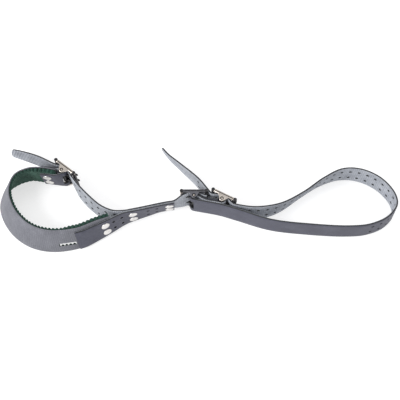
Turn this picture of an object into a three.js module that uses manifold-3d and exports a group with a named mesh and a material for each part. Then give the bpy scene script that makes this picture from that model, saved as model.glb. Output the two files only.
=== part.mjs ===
// Climbing-iron strap set: a padded ankle loop and a plain foot loop of punched strapping,
// joined by a buckle in the middle. Millimetres, +Z up. The set lies on its lower edges on a
// table at Z = 0, with its length along X. Straps stand on edge, so their width runs along Z.
import * as THREE from 'three';
import { mergeVertices } from 'three/addons/utils/BufferGeometryUtils.js';
import Module from 'manifold-3d';

const wasm = await Module();
wasm.setup();

// ---- driving dimensions ---------------------------------------------------------------
const GAP = 0.3; // clearance between touching pieces

const STRAP_WIDTH = 30;
const STRAP_THICKNESS = 2.2;
const HOLE_RADIUS = 1.7;
const HOLE_PITCH = 10;
const FIRST_HOLE = 65; // from the tip of the foot strap's tail
const HOLE_CLEARANCE = 8; // between a punched hole and a rivet or prong, along the strap
const ROW_SPACING = 13.5; // between the two rows of holes, rivets and prongs

const PAD_WIDTH = 37;
const COVER_THICKNESS = 2.2;
const FELT_THICKNESS = 3.4;
const PAD_SLOT_LENGTH = 19;
const PAD_SLOT_HEIGHT = 4.5;
const PAD_SLOT_PLACE = 52; // from the front end of the pad
const PAD_SLOT_RISE = -6; // from the middle of the pad's width
const PAD_TAPER = 16; // both ends of the pad narrow over this length
const CHAPE_LENGTH = 16.5;
const TAIL_TIP_WIDTH = 11;
const TAIL_LENGTH = 70;
const TAIL_CURVE = 0.8; // 1 for straight edges, less for ones that bulge

const ANKLE_LOOP_LENGTH = 140;
const ANKLE_LOOP_WIDTH = 80;
const FOOT_LOOP_LENGTH = 225;
const FOOT_LOOP_WIDTH = 70;
const LAP_X = -80; // where the two straps of the ankle loop come together
const LAP_LENGTH = 54; // how much of the front strap lies on the ankle strap
const PAD_LAP_LENGTH = 41; // how much of it lies on the pad
const FOOT_CHAPE_LENGTH = 15.1; // from the foot buckle's pin to the end of its chape
const MIDDLE_BUCKLE = [-6.8, 1.5];
const BUCKLE_BEYOND_PAD = 7.22; // from the pad's far end to the middle of the ankle buckle
const BUCKLE_OFF_PAD = 2.75; // the ankle buckle stands this far off, beyond the layers
const BUCKLE_CLEARANCE = 0.958; // from the middle buckle to the strap in the foot buckle
const FOOT_BUCKLE_RISE = 1.796; // of the foot buckle's back bar above the middle one's
const ANKLE_BUCKLE_ANGLE = -38.3; // degrees, from the length of the set
const FOOT_BUCKLE_ANGLE = -27.8;
const FOOT_CHAPE_ANGLE = -12.6;

const BAR_SPREAD = 27; // between the two end bars of a buckle
const BAR_RADIUS = 1.2;
const ROLLER_BORE = 1.45;
const ROLLER_RADIUS = 2.0;
const PIN_RADIUS = 1.3;
const PIN_ROOM = 3; // how far the pin lies behind the bars, beyond the strap's thickness
const EAR_RADIUS = 3.2;
const EAR_FOOT = 3; // how far the ear widens on each side where it meets the plate
const EAR_TURN = 0.12 * Math.PI; // by which the ear's round stops short of a half circle
const PLATE_THICKNESS = 2.4;
const PLATE_HALF_DEPTH = 1.7;
const PLATE_BEVEL = 0.4;
const SIDE_PLAY = 0.8; // between the edge of the strap and the buckle's side plate
const PRONG_RADIUS = 1.2;
const PRONG_TIP = 0.9; // how far a prong reaches past the middle of its roller
const PRONG_SPARE = 0.45; // room round a prong in its hole
const SLEEVE_BORE = 1.45; // tongue sleeve around the pin
const SLEEVE_RADIUS = 2.1;
const TONGUE_LIFT = 12; // degrees that the tongue lifts off its roller
const BAR_PLAY = 0.7; // between a roller and the strap that runs behind it

const PAD_RIVET_PLACE = 34; // along the front strap from its end on the pad
const LAP_RIVET_PLACE = 47; // along the front strap from its other end
const END_RIVET_PLACE = 5.4;
const FOOT_RIVET_PLACE = 4.6;
const RIVET_HEAD_RADIUS = 4.8;
const RIVET_HEAD_HEIGHT = 1.1;
const RIVET_SHANK_RADIUS = 1.6;
const RIVET_PLAY = 0.6; // under a rivet's head

// ---- sizes that follow ------------------------------------------------------------------
const LAYER = STRAP_THICKNESS + GAP; // pitch of two straps that lie on each other
const PIN_SETBACK = PIN_ROOM + STRAP_THICKNESS;
const PLATE_INNER = STRAP_WIDTH / 2 + SIDE_PLAY;
const BUCKLE_HALF_HEIGHT = PLATE_INNER + PLATE_THICKNESS;
const MID_Z = BUCKLE_HALF_HEIGHT;
const WRAP_RADIUS = SLEEVE_RADIUS + GAP + STRAP_THICKNESS / 2; // centre line of a strap round a pin
const BAR_WRAP = ROLLER_RADIUS + BAR_PLAY + STRAP_THICKNESS / 2; // the same round a roller
const OVER_CHAPE = -PIN_SETBACK + WRAP_RADIUS + LAYER;
const FELT_OFFSET = COVER_THICKNESS / 2 + GAP + FELT_THICKNESS / 2;
const OUTSIDE_COVER = -(COVER_THICKNESS / 2 + GAP + STRAP_THICKNESS / 2);
const INSIDE_FELT = FELT_OFFSET + FELT_THICKNESS / 2 + 2 * GAP + STRAP_THICKNESS / 2;

// ---- materials --------------------------------------------------------------------------
const material = (color, roughness, metalness) =>
  new THREE.MeshStandardMaterial({ color, roughness, metalness });
const strapFinish = () => material(0x5b5e68, 0.6, 0);
const coverFinish = () => material(0x6f7076, 0.85, 0);
const feltFinish = () => material(0x2f6b4f, 1, 0);
const nickelFinish = () => material(0xd8d2c4, 0.25, 1);
const darkFinish = () => material(0x1d1d20, 0.45, 0.8);

// ---- solids -----------------------------------------------------------------------------
function toSolid(geometry) {
  const plain = geometry.index ? geometry.toNonIndexed() : geometry.clone();
  plain.deleteAttribute('normal');
  plain.deleteAttribute('uv');
  const merged = mergeVertices(plain, 1e-4);
  const vertProperties = new Float32Array(merged.attributes.position.array);
  const triVerts = new Uint32Array(merged.index.array);
  return new wasm.Manifold(new wasm.Mesh({ numProp: 3, vertProperties, triVerts }));
}

function toGeometry(solid) {
  const mesh = solid.getMesh();
  const geometry = new THREE.BufferGeometry();
  geometry.setAttribute('position', new THREE.BufferAttribute(mesh.vertProperties, 3));
  geometry.setIndex(new THREE.BufferAttribute(mesh.triVerts, 1));
  geometry.computeVertexNormals();
  return geometry;
}

const union = (solids) => solids.reduce((all, next) => all.add(next));
const cutAll = (solid, tools) => tools.reduce((left, tool) => left.subtract(tool), solid);

function namedMesh(name, geometry, finish) {
  const mesh = new THREE.Mesh(geometry, finish);
  mesh.name = name;
  return mesh;
}

// ---- strap paths ------------------------------------------------------------------------
// A station is [x, y, z, lean]: a point of the strap's centre line and the angle in degrees by
// which its upper edge leans to the left of its direction of travel.
const STATION_STEP = 6;
const WRAP_STEP = 0.45; // radians between stations round a pin

function followPath(stations) {
  const centre = new THREE.CatmullRomCurve3(
    stations.map(([x, y, z]) => new THREE.Vector3(x, y, z)), false, 'centripetal');
  const spans = stations.length - 1;
  const leans = new THREE.SplineCurve(stations.map((each, i) => new THREE.Vector2(i, each[3])));
  const frameAt = (span, part) => {
    const t = Math.min((span + part) / spans, 1);
    const point = centre.getPoint(t);
    const along = centre.getTangent(t).setZ(0).normalize();
    const left = new THREE.Vector3(-along.y, along.x, 0);
    const lean = THREE.MathUtils.degToRad(leans.getPoint(t).y);
    const up = new THREE.Vector3(0, 0, Math.cos(lean)).addScaledVector(left, Math.sin(lean));
    const out = new THREE.Vector3().crossVectors(up, along).normalize();
    return { point, along, up, out };
  };
  const frames = [];
  for (let span = 0; span < spans; span += 1) {
    const from = new THREE.Vector3(...stations[span]);
    const to = new THREE.Vector3(...stations[span + 1]);
    const steps = Math.max(1, Math.min(6, Math.round(from.distanceTo(to) / STATION_STEP)));
    for (let step = 0; step < steps; step += 1) frames.push(frameAt(span, step / steps));
  }
  frames.push(frameAt(spans - 1, 1));
  let travelled = 0;
  frames.forEach((frame, i) => {
    if (i > 0) travelled += frame.point.distanceTo(frames[i - 1].point);
    frame.distance = travelled;
  });
  return frames;
}

// The frame at a distance along the path, or at the place where the path passes nearest to a point.
function frameAtDistance(frames, distance) {
  const after = Math.max(1, frames.findIndex((frame) => frame.distance >= distance));
  const a = frames[after - 1];
  const b = frames[after];
  const part = (distance - a.distance) / (b.distance - a.distance);
  const blend = (key) => a[key].clone().lerp(b[key], part);
  return {
    point: blend('point'),
    along: blend('along').normalize(),
    up: blend('up').normalize(),
    out: blend('out').normalize(),
    distance,
  };
}

function distanceNear(frames, [x, y]) {
  const gapTo = (frame) => Math.hypot(frame.point.x - x, frame.point.y - y);
  return frames.reduce((best, frame) => (gapTo(frame) < gapTo(best) ? frame : best)).distance;
}

// The same path moved sideways, to the left of its direction of travel.
function besidePath(frames, offset) {
  return frames.map((frame) => ({
    ...frame,
    point: frame.point.clone().addScaledVector(frame.out, offset),
  }));
}

// A station of another strap that lies beside this path, `offset` to its left, with its centre
// line at height z. A strap that travels the other way leans the other way.
function stationBeside(frames, distance, offset, z, backwards = false) {
  const frame = frameAtDistance(frames, distance);
  const point = frame.point.clone().addScaledVector(frame.out, offset);
  point.addScaledVector(frame.up, (z - point.z) / frame.up.z);
  const lean = THREE.MathUtils.radToDeg(Math.asin(-frame.out.z));
  return [point.x, point.y, z, backwards ? -lean : lean];
}

// ---- ribbons ----------------------------------------------------------------------------
// A ribbon's section is a ring of points: up its right face and down its left one. Both faces
// split their quads along the same diagonal, so ribbons that lie on each other stay parallel.
const ROWS = 2;

function ribbonSolid(frames, thickness, widthAt) {
  const position = [];
  for (const frame of frames) {
    const halfWidth = widthAt(frame.distance) / 2;
    for (let i = 0; i < 2 * (ROWS + 1); i += 1) {
      const rising = i <= ROWS;
      const row = rising ? i : 2 * ROWS + 1 - i;
      const corner = frame.point.clone()
        .addScaledVector(frame.out, ((rising ? -1 : 1) * thickness) / 2)
        .addScaledVector(frame.up, halfWidth * ((2 * row) / ROWS - 1));
      position.push(corner.x, corner.y, corner.z);
    }
  }
  const ring = 2 * (ROWS + 1);
  const index = [];
  for (let here = 0; here < (frames.length - 1) * ring; here += ring) {
    for (let k = 0; k < ring; k += 1) {
      const a = here + k;
      const b = here + ((k + 1) % ring);
      if (k < ROWS) index.push(a, a + ring, b + ring, a, b + ring, b);
      else index.push(a, a + ring, b, b, a + ring, b + ring);
    }
  }
  const last = (frames.length - 1) * ring;
  for (let k = 0; k < ROWS; k += 1) {
    const across = ring - 1 - k;
    index.push(k, k + 1, across - 1, k, across - 1, across);
    index.push(last + k, last + across - 1, last + k + 1, last + k, last + across, last + across - 1);
  }
  const geometry = new THREE.BufferGeometry();
  geometry.setAttribute('position', new THREE.Float32BufferAttribute(position, 3));
  geometry.setIndex(index);
  return toSolid(geometry);
}

// A round tool through a strap, square to its face.
function drillTool(frame, across, radius, length, sides) {
  const tool = new THREE.CylinderGeometry(radius, radius, length, sides);
  const turn = new THREE.Quaternion().setFromUnitVectors(new THREE.Vector3(0, 1, 0), frame.out);
  tool.applyQuaternion(turn);
  const centre = frame.point.clone().addScaledVector(frame.up, across);
  tool.translate(centre.x, centre.y, centre.z);
  return toSolid(tool);
}

// Two rows of punched holes, left out where a rivet or another fitting takes their place.
function holeRows(frames, from, to, taken = []) {
  const tools = [];
  for (let distance = from; distance <= to; distance += HOLE_PITCH) {
    if (taken.some((place) => Math.abs(place - distance) < HOLE_CLEARANCE)) continue;
    const frame = frameAtDistance(frames, distance);
    for (const row of [-0.5, 0.5]) {
      tools.push(drillTool(frame, row * ROW_SPACING, HOLE_RADIUS, STRAP_THICKNESS + 1, 6));
    }
  }
  return tools;
}

// ---- rivets -----------------------------------------------------------------------------
// Half the outline of a rivet's head, from the edge of the shank to the middle of its dome.
const headOutline = (face, side) => [[1, 0], [1, 0.2], [0.7, 0.8], [0, 1]].map(
  ([radius, height]) => new THREE.Vector2(
    radius * RIVET_HEAD_RADIUS, face + side * (RIVET_PLAY + height * RIVET_HEAD_HEIGHT)));

// A rivet through a stack that reaches from `near` to `far` along the frame's out direction.
// A flush rivet has no head at its far end.
function rivet(frame, across, near, far, flush) {
  const nearFace = near - RIVET_PLAY;
  const farFace = flush ? far : far + RIVET_PLAY;
  const geometry = new THREE.LatheGeometry([
    ...headOutline(near, -1).reverse(),
    new THREE.Vector2(RIVET_SHANK_RADIUS, nearFace),
    new THREE.Vector2(RIVET_SHANK_RADIUS, farFace),
    ...(flush ? [new THREE.Vector2(0, farFace)] : headOutline(far, 1)),
  ], 12);
  const turn = new THREE.Quaternion().setFromUnitVectors(new THREE.Vector3(0, 1, 0), frame.out);
  geometry.applyQuaternion(turn);
  const centre = frame.point.clone().addScaledVector(frame.up, across);
  geometry.translate(centre.x, centre.y, centre.z);
  return toGeometry(toSolid(geometry));
}

const rivetBore = (frame, across, near, far) => drillTool(
  { ...frame, point: frame.point.clone().addScaledVector(frame.out, (near + far) / 2) },
  across, RIVET_SHANK_RADIUS + GAP, far - near + 1, 12);

// ---- buckles ----------------------------------------------------------------------------
// A buckle's own frame: u along the strap towards the bar that the tongue rests on, v outwards
// from the loop, w along the pin. The bars lie at v = 0 and the pin behind them.
function buckleAt([x, y], turn) {
  const group = new THREE.Group();
  group.position.set(x, y, MID_Z);
  group.rotation.copy(turn);
  group.updateMatrixWorld(true);
  const at = (u, v) => {
    const point = new THREE.Vector3(u, v, 0).applyMatrix4(group.matrixWorld);
    return [point.x, point.y];
  };
  return { group, at, pin: at(0, -PIN_SETBACK) };
}

function alongPin(geometry) {
  return geometry.rotateX(Math.PI / 2); // cylinders stand along w
}

function sidePlate(side) {
  const reach = BAR_SPREAD / 2;
  const shape = new THREE.Shape();
  shape.absarc(reach, 0, PLATE_HALF_DEPTH, -Math.PI / 2, Math.PI / 2, false);
  shape.absarc(-reach, 0, PLATE_HALF_DEPTH, Math.PI / 2, (3 * Math.PI) / 2, false);
  shape.lineTo(-EAR_RADIUS - EAR_FOOT, -PLATE_HALF_DEPTH);
  shape.absarc(0, -PIN_SETBACK, EAR_RADIUS, Math.PI + EAR_TURN, 2 * Math.PI - EAR_TURN, false);
  shape.lineTo(EAR_RADIUS + EAR_FOOT, -PLATE_HALF_DEPTH);
  const bore = new THREE.Path();
  bore.absarc(0, -PIN_SETBACK, PIN_RADIUS + GAP, 0, 2 * Math.PI, true);
  shape.holes.push(bore);
  const depth = PLATE_THICKNESS - 2 * PLATE_BEVEL;
  const plate = new THREE.ExtrudeGeometry(shape, {
    depth,
    bevelEnabled: true,
    bevelThickness: PLATE_BEVEL,
    bevelSize: PLATE_BEVEL,
    bevelOffset: -PLATE_BEVEL,
    bevelSegments: 1,
    curveSegments: 4,
  });
  plate.translate(0, 0, side * (PLATE_INNER + PLATE_THICKNESS / 2) - depth / 2);
  return toSolid(plate);
}

function buckleFrame() {
  const bars = [-1, 1].map((end) => {
    const bar = alongPin(new THREE.CylinderGeometry(
      BAR_RADIUS, BAR_RADIUS, 2 * PLATE_INNER + PLATE_THICKNESS, 12));
    bar.translate((end * BAR_SPREAD) / 2, 0, 0);
    return toSolid(bar);
  });
  return toGeometry(union([sidePlate(-1), sidePlate(1), ...bars]));
}

function bucklePin() {
  const pin = alongPin(new THREE.CylinderGeometry(PIN_RADIUS, PIN_RADIUS, 2 * BUCKLE_HALF_HEIGHT, 16));
  return pin.translate(0, -PIN_SETBACK, 0);
}

function buckleRoller(end) {
  const length = 2 * (PLATE_INNER - GAP);
  const outer = toSolid(alongPin(new THREE.CylinderGeometry(ROLLER_RADIUS, ROLLER_RADIUS, length, 16)));
  const bore = toSolid(alongPin(new THREE.CylinderGeometry(ROLLER_BORE, ROLLER_BORE, length + 2, 16)));
  return toGeometry(outer.subtract(bore)).translate((end * BAR_SPREAD) / 2, 0, 0);
}

// A prong leaves the sleeve, climbs through the strap and comes to rest on the outside of the
// roller. `spare` thickens it into the tool that clears its hole.
function prong(across, spare, lift) {
  const restHeight = ROLLER_RADIUS + GAP + PRONG_RADIUS;
  const reach = BAR_SPREAD / 2;
  const route = new THREE.CatmullRomCurve3([
    new THREE.Vector3(SLEEVE_RADIUS * 0.75, -PIN_SETBACK + 0.6, across),
    new THREE.Vector3(reach * 0.36, -PIN_SETBACK * 0.62, across),
    new THREE.Vector3(reach * 0.62, 0, across),
    new THREE.Vector3(reach * 0.84, restHeight - 0.4, across),
    new THREE.Vector3(reach, restHeight + 0.1, across),
    new THREE.Vector3(reach + PRONG_TIP, restHeight - 0.1, across),
  ]);
  const radius = PRONG_RADIUS + spare;
  const section = new THREE.Shape();
  section.absarc(0, 0, radius, 0, 2 * Math.PI, false);
  const tube = new THREE.ExtrudeGeometry(section, {
    extrudePath: route, steps: 8, curveSegments: 4, bevelEnabled: false,
  });
  tube.translate(0, PIN_SETBACK, 0);
  tube.rotateZ(THREE.MathUtils.degToRad(lift));
  tube.translate(0, -PIN_SETBACK, 0);
  return toSolid(tube);
}

function buckleTongue() {
  const halfSleeve = ROW_SPACING / 2 + PRONG_RADIUS + 0.5;
  const sleeve = toSolid(alongPin(new THREE.CylinderGeometry(
    SLEEVE_RADIUS, SLEEVE_RADIUS, 2 * halfSleeve, 16)).translate(0, -PIN_SETBACK, 0));
  const bore = toSolid(alongPin(new THREE.CylinderGeometry(
    SLEEVE_BORE, SLEEVE_BORE, 2 * halfSleeve + 2, 16)).translate(0, -PIN_SETBACK, 0));
  const prongs = [-0.5, 0.5].map((row) => prong(row * ROW_SPACING, 0, 0));
  return toGeometry(union([sleeve, ...prongs]).subtract(bore));
}

// Tools, in world coordinates, that clear the lifting prongs in a strap and the sleeve in a chape.
function prongTools(buckle) {
  const tools = [];
  for (const row of [-0.5, 0.5]) {
    for (const lift of [-1, TONGUE_LIFT / 2, TONGUE_LIFT + 1]) {
      const tool = toGeometry(prong(row * ROW_SPACING, PRONG_SPARE, lift));
      tools.push(toSolid(tool.applyMatrix4(buckle.group.matrixWorld)));
    }
  }
  return tools;
}

// One slot in the fold of a chape lets both prongs out.
function slotTool(buckle) {
  const halfSlot = ROW_SPACING / 2 + PRONG_RADIUS + 1;
  const reach = WRAP_RADIUS + STRAP_THICKNESS / 2 + GAP / 2;
  const round = alongPin(new THREE.CylinderGeometry(reach, reach, 2 * halfSlot, 24));
  round.translate(0, -PIN_SETBACK, 0);
  const half = new THREE.BoxGeometry(reach, 2 * reach + 1, 2 * halfSlot);
  half.translate(reach / 2 + GAP, -PIN_SETBACK, 0);
  const slot = toSolid(round).intersect(toSolid(half));
  return toSolid(toGeometry(slot).applyMatrix4(buckle.group.matrixWorld));
}

function addBuckle(name, buckle) {
  buckle.group.add(
    namedMesh(`${name}_frame`, buckleFrame(), nickelFinish()),
    namedMesh(`${name}_pin`, bucklePin(), nickelFinish()),
    namedMesh(`${name}_tongue`, buckleTongue(), darkFinish()),
    namedMesh(`${name}_roller_front`, buckleRoller(1), darkFinish()),
    namedMesh(`${name}_roller_back`, buckleRoller(-1), darkFinish()),
  );
  set.add(buckle.group);
}

// Stations of a strap that runs round a pin or bar between two straight legs, which come from
// one point and go on to another. `turn` is 1 for a left turn and -1 for a right one.
function roundPin([x, y], from, to, turn, radius = WRAP_RADIUS) {
  const angleTo = (point) => Math.atan2(point[1] - y, point[0] - x);
  const legAngle = (point) => Math.acos(radius / Math.hypot(point[0] - x, point[1] - y));
  const start = angleTo(from) + turn * legAngle(from);
  const end = angleTo(to) - turn * legAngle(to);
  const slack = Math.PI / 2; // legs that only brush the pin turn by a little less than nothing
  const swept = THREE.MathUtils.euclideanModulo(turn * (end - start) + slack, 2 * Math.PI) - slack;
  const steps = Math.max(0, Math.round(swept / WRAP_STEP));
  return Array.from({ length: steps + 1 }, (_, i) => {
    const angle = start + turn * swept * (steps ? i / steps : 0.5);
    return [x + radius * Math.cos(angle), y + radius * Math.sin(angle), MID_Z, 0];
  });
}

// Stations of a strap that runs through a buckle: inside one bar, over the chape, inside the other.
function through(buckle, from, to, firstBar) {
  const bar = (end) => buckle.at((end * BAR_SPREAD) / 2, 0);
  const over = buckle.at(0, OVER_CHAPE);
  return [
    ...roundPin(bar(firstBar), from, over, 1, BAR_WRAP),
    [...over, MID_Z, 0],
    ...roundPin(bar(-firstBar), over, to, 1, BAR_WRAP),
  ];
}

// ---- layout -----------------------------------------------------------------------------
const set = new THREE.Group();
const ankle = (along, across) => [LAP_X - along * ANKLE_LOOP_LENGTH, across * ANKLE_LOOP_WIDTH];
const turned = (degrees) => new THREE.Euler(0, 0, THREE.MathUtils.degToRad(degrees));
// A point moved by u along the direction at this angle and by v to the left of it.
const moved = ([x, y], degrees, u, v) => {
  const angle = THREE.MathUtils.degToRad(degrees);
  return [
    x + u * Math.cos(angle) - v * Math.sin(angle),
    y + u * Math.sin(angle) + v * Math.cos(angle),
  ];
};
const upsideDown = new THREE.Euler(0, Math.PI, 0);
const middleBuckle = buckleAt(MIDDLE_BUCKLE, upsideDown);
const foot = (along, across) =>
  [middleBuckle.pin[0] + along * FOOT_LOOP_LENGTH, across * FOOT_LOOP_WIDTH];

// The ankle buckle stands off the pad by the chape and the strap that lie between them.
const padEnd = ankle(0.59, 0.375);
const offPad = COVER_THICKNESS / 2 + 2 * STRAP_THICKNESS + BUCKLE_OFF_PAD;
const ankleBuckle = buckleAt(
  moved(padEnd, ANKLE_BUCKLE_ANGLE, BUCKLE_BEYOND_PAD, offPad), turned(ANKLE_BUCKLE_ANGLE));

// The foot buckle's back bar stands clear of the middle buckle's, with its strap between them.
const footBackBar = [
  MIDDLE_BUCKLE[0] + BAR_SPREAD / 2 + ROLLER_RADIUS + BUCKLE_CLEARANCE + STRAP_THICKNESS / 2 + BAR_WRAP,
  MIDDLE_BUCKLE[1] + FOOT_BUCKLE_RISE,
];
const footBuckle = buckleAt(
  moved(footBackBar, FOOT_BUCKLE_ANGLE, BAR_SPREAD / 2, 0), turned(FOOT_BUCKLE_ANGLE));
const station = ([x, y], z, lean) => [x, y, z, lean];
// A point between the ankle loop and the middle buckle.
const lap = (part, across) =>
  [THREE.MathUtils.lerp(LAP_X, MIDDLE_BUCKLE[0], part), across * ANKLE_LOOP_WIDTH];

// ---- pad: a cover with felt inside it, flared outwards at its lower edge -------------------
const padHeight = (lean) => (PAD_WIDTH / 2) * Math.cos(lean)
  + (FELT_OFFSET + FELT_THICKNESS / 2) * Math.sin(lean) + GAP;
const padStation = (along, across, lean) =>
  station(ankle(along, across), padHeight(THREE.MathUtils.degToRad(lean)), lean);
const padFrames = followPath([
  padStation(0.59, 0.375, 6),
  padStation(0.7, 0.397, 7),
  padStation(0.81, 0.392, 9),
  padStation(0.92, 0.31, 14),
  padStation(0.984, 0.16, 24),
  padStation(0.993, -0.04, 28),
  padStation(0.914, -0.33, 27),
  padStation(0.772, -0.55, 23),
  padStation(0.6, -0.64, 18),
  padStation(0.38, -0.597, 13),
  padStation(0.235, -0.475, 8),
  padStation(0.13, -0.37, 4),
]);
const padLength = padFrames[padFrames.length - 1].distance;
const padWidthAt = (distance) => {
  const fromEnd = Math.min(distance, padLength - distance);
  const part = Math.min(fromEnd / PAD_TAPER, 1);
  return THREE.MathUtils.lerp(STRAP_WIDTH + 1, PAD_WIDTH, Math.sin((part * Math.PI) / 2));
};
const feltFrames = besidePath(padFrames, FELT_OFFSET);

const padSlotTool = () => {
  const frame = frameAtDistance(padFrames, padLength - PAD_SLOT_PLACE);
  const slot = new THREE.BoxGeometry(PAD_SLOT_LENGTH, 30, PAD_SLOT_HEIGHT);
  const turn = new THREE.Matrix4().makeBasis(frame.along, frame.out, frame.up);
  const centre = frame.point.clone().addScaledVector(frame.up, PAD_SLOT_RISE);
  return toSolid(slot.applyMatrix4(turn.setPosition(centre)));
};

// ---- straps -------------------------------------------------------------------------------
const strapWidthAt = () => STRAP_WIDTH;

// The chape holds the ankle buckle's pin and clasps the far end of the pad.
const legDistances = [1, 0.8, 0.6, 0.4, 0.2, 0.05].map((part) => part * CHAPE_LENGTH);
const insideLeg = legDistances.map((distance) =>
  stationBeside(padFrames, distance, INSIDE_FELT, MID_Z, true));
const outsideLeg = legDistances.map((distance) =>
  stationBeside(padFrames, distance, OUTSIDE_COVER, MID_Z)).reverse();
const chapeFrames = followPath([
  ...insideLeg,
  ...roundPin(ankleBuckle.pin, insideLeg[insideLeg.length - 1], outsideLeg[0], 1),
  ...outsideLeg,
]);

// The front strap starts on the outside of the pad and ends short of the middle buckle.
const frontFrames = followPath([
  ...[1, 0.83, 0.66, 0.49, 0.32, 0.17, 0.02].map((part) =>
    stationBeside(padFrames, padLength - part * PAD_LAP_LENGTH, OUTSIDE_COVER, MID_Z)),
  station(lap(-0.055, -0.3025), MID_Z, 0),
  station(lap(0.109, -0.2525), MID_Z, -5),
  station(lap(0.314, -0.196), MID_Z, -9),
  station(lap(0.492, -0.1475), MID_Z, -12),
  station(lap(0.697, -0.1125), MID_Z, -11),
]);
const frontLength = frontFrames[frontFrames.length - 1].distance;
const besideFront = (back) => stationBeside(frontFrames, frontLength - back, LAYER, MID_Z);

// The ankle strap: tapered tail, ankle buckle, back to the front strap, middle buckle.
const ankleTail = ankleBuckle.at(-36, -8);
const closing = ankle(0.4, 0.11);
const lapEnd = besideFront(0);
const stubEnd = middleBuckle.at(-BAR_SPREAD / 2 - 1, -BAR_WRAP);
const ankleFrames = followPath([
  station(ankleBuckle.at(-71.9, -19), MID_Z - 4.7, 16),
  station(ankleBuckle.at(-57.9, -14.1), MID_Z - 3.2, 10),
  station(ankleTail, MID_Z - 1, 4),
  ...through(ankleBuckle, ankleTail, closing, -1),
  station(closing, MID_Z, 5),
  station(ankle(0.31, -0.06), MID_Z, 6),
  station(ankle(0.21, -0.2), MID_Z, 4),
  station(ankle(0.11, -0.265), MID_Z, 1),
  ...[1, 0.89, 0.74, 0.59, 0.44, 0.3, 0.15].map((part) => besideFront(part * LAP_LENGTH)),
  lapEnd,
  ...through(middleBuckle, lapEnd, stubEnd, 1),
  station(stubEnd, MID_Z, 0),
]);

// The foot strap: tapered tail, foot buckle, round the foot, round the middle pin, and back
// to a chape on the foot buckle's pin.
const footTail = footBuckle.at(-36, 7);
const footEntry = foot(0.284, -0.236);
const [footPinX, footPinY] = footBuckle.pin;
const [middlePinX, middlePinY] = middleBuckle.pin;
const nearStrap = [footPinX + 17.9, footPinY - 12];
const underFootPin = [footPinX, footPinY - WRAP_RADIUS - LAYER];
const underMiddlePin = [middlePinX, middlePinY - WRAP_RADIUS];
// The two legs of the foot buckle's chape lie on each other along a straight line that
// touches the wrap round its pin. `back` is the distance from the pin towards the middle.
const chapeTurn = THREE.MathUtils.degToRad(FOOT_CHAPE_ANGLE);
const onChapeLine = (back, layers) => {
  const beside = layers * LAYER - WRAP_RADIUS;
  const x = footPinX - back * Math.cos(chapeTurn) - beside * Math.sin(chapeTurn);
  const y = footPinY - back * Math.sin(chapeTurn) + beside * Math.cos(chapeTurn);
  return [x, y, MID_Z, 0];
};
const innerLeg = [onChapeLine(18.8, 0), onChapeLine(6, 0)];
const endLeg = [0.37, 0.48, 0.72, 1].map((part) => onChapeLine(part * FOOT_CHAPE_LENGTH, 1));
const footFrames = followPath([
  station(footBuckle.at(-94.8, 28.6), MID_Z - 4.7, -8),
  station(footBuckle.at(-82.6, 22.6), MID_Z - 3.7, -7),
  station(footBuckle.at(-64.7, 16.5), MID_Z - 1.7, -5),
  station(footTail, MID_Z, -3),
  ...through(footBuckle, footTail, footEntry, -1),
  station(footEntry, MID_Z, 0),
  station(foot(0.362, -0.222), MID_Z, 0),
  station(foot(0.439, -0.136), MID_Z - 0.5, -5),
  station(foot(0.541, 0.077), MID_Z - 1, -11),
  station(foot(0.644, 0.31), MID_Z - 1.5, -8),
  station(foot(0.747, 0.455), MID_Z - 2, -2),
  station(foot(0.843, 0.44), MID_Z - 2, -1),
  station(foot(0.937, 0.275), MID_Z - 2, -2),
  station(foot(0.995, 0.01), MID_Z - 2, -4),
  station(foot(0.998, -0.186), MID_Z - 2, -4),
  station(foot(0.947, -0.386), MID_Z - 2, -2),
  station(foot(0.857, -0.514), MID_Z - 2, 0),
  station(foot(0.755, -0.55), MID_Z - 1.5, 1),
  station(foot(0.564, -0.521), MID_Z - 1, 1),
  station(foot(0.377, -0.45), MID_Z, 1),
  station(nearStrap, MID_Z, 0),
  ...roundPin(footBuckle.pin, nearStrap, underMiddlePin, -1, WRAP_RADIUS + LAYER),
  ...roundPin(middleBuckle.pin, underFootPin, innerLeg[0], -1),
  ...innerLeg,
  ...roundPin(footBuckle.pin, innerLeg[1], endLeg[0], 1),
  ...endLeg,
]);

// Where the straps are punched: past the buckle and round the loop, and on the foot strap's tail.
const footLength = footFrames[footFrames.length - 1].distance;
const ankleHoles = [
  distanceNear(ankleFrames, ankleBuckle.at(BAR_SPREAD / 2, 0)) + HOLE_CLEARANCE,
  distanceNear(ankleFrames, besideFront(LAP_LENGTH)) - HOLE_CLEARANCE,
];
const footBarPlace = distanceNear(footFrames, footBuckle.at(BAR_SPREAD / 2, 0));
const footTaken = [0, 0.33, 0.67, 1, 1.33].map((part) => footBarPlace - part * BAR_SPREAD);
const footHoles = [FIRST_HOLE, distanceNear(footFrames, foot(0.86, -0.51))];

// A tail narrows to a blunt tip.
const tailWidthAt = (distance) => THREE.MathUtils.lerp(
  TAIL_TIP_WIDTH, STRAP_WIDTH, Math.min(distance / TAIL_LENGTH, 1) ** TAIL_CURVE);

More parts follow.
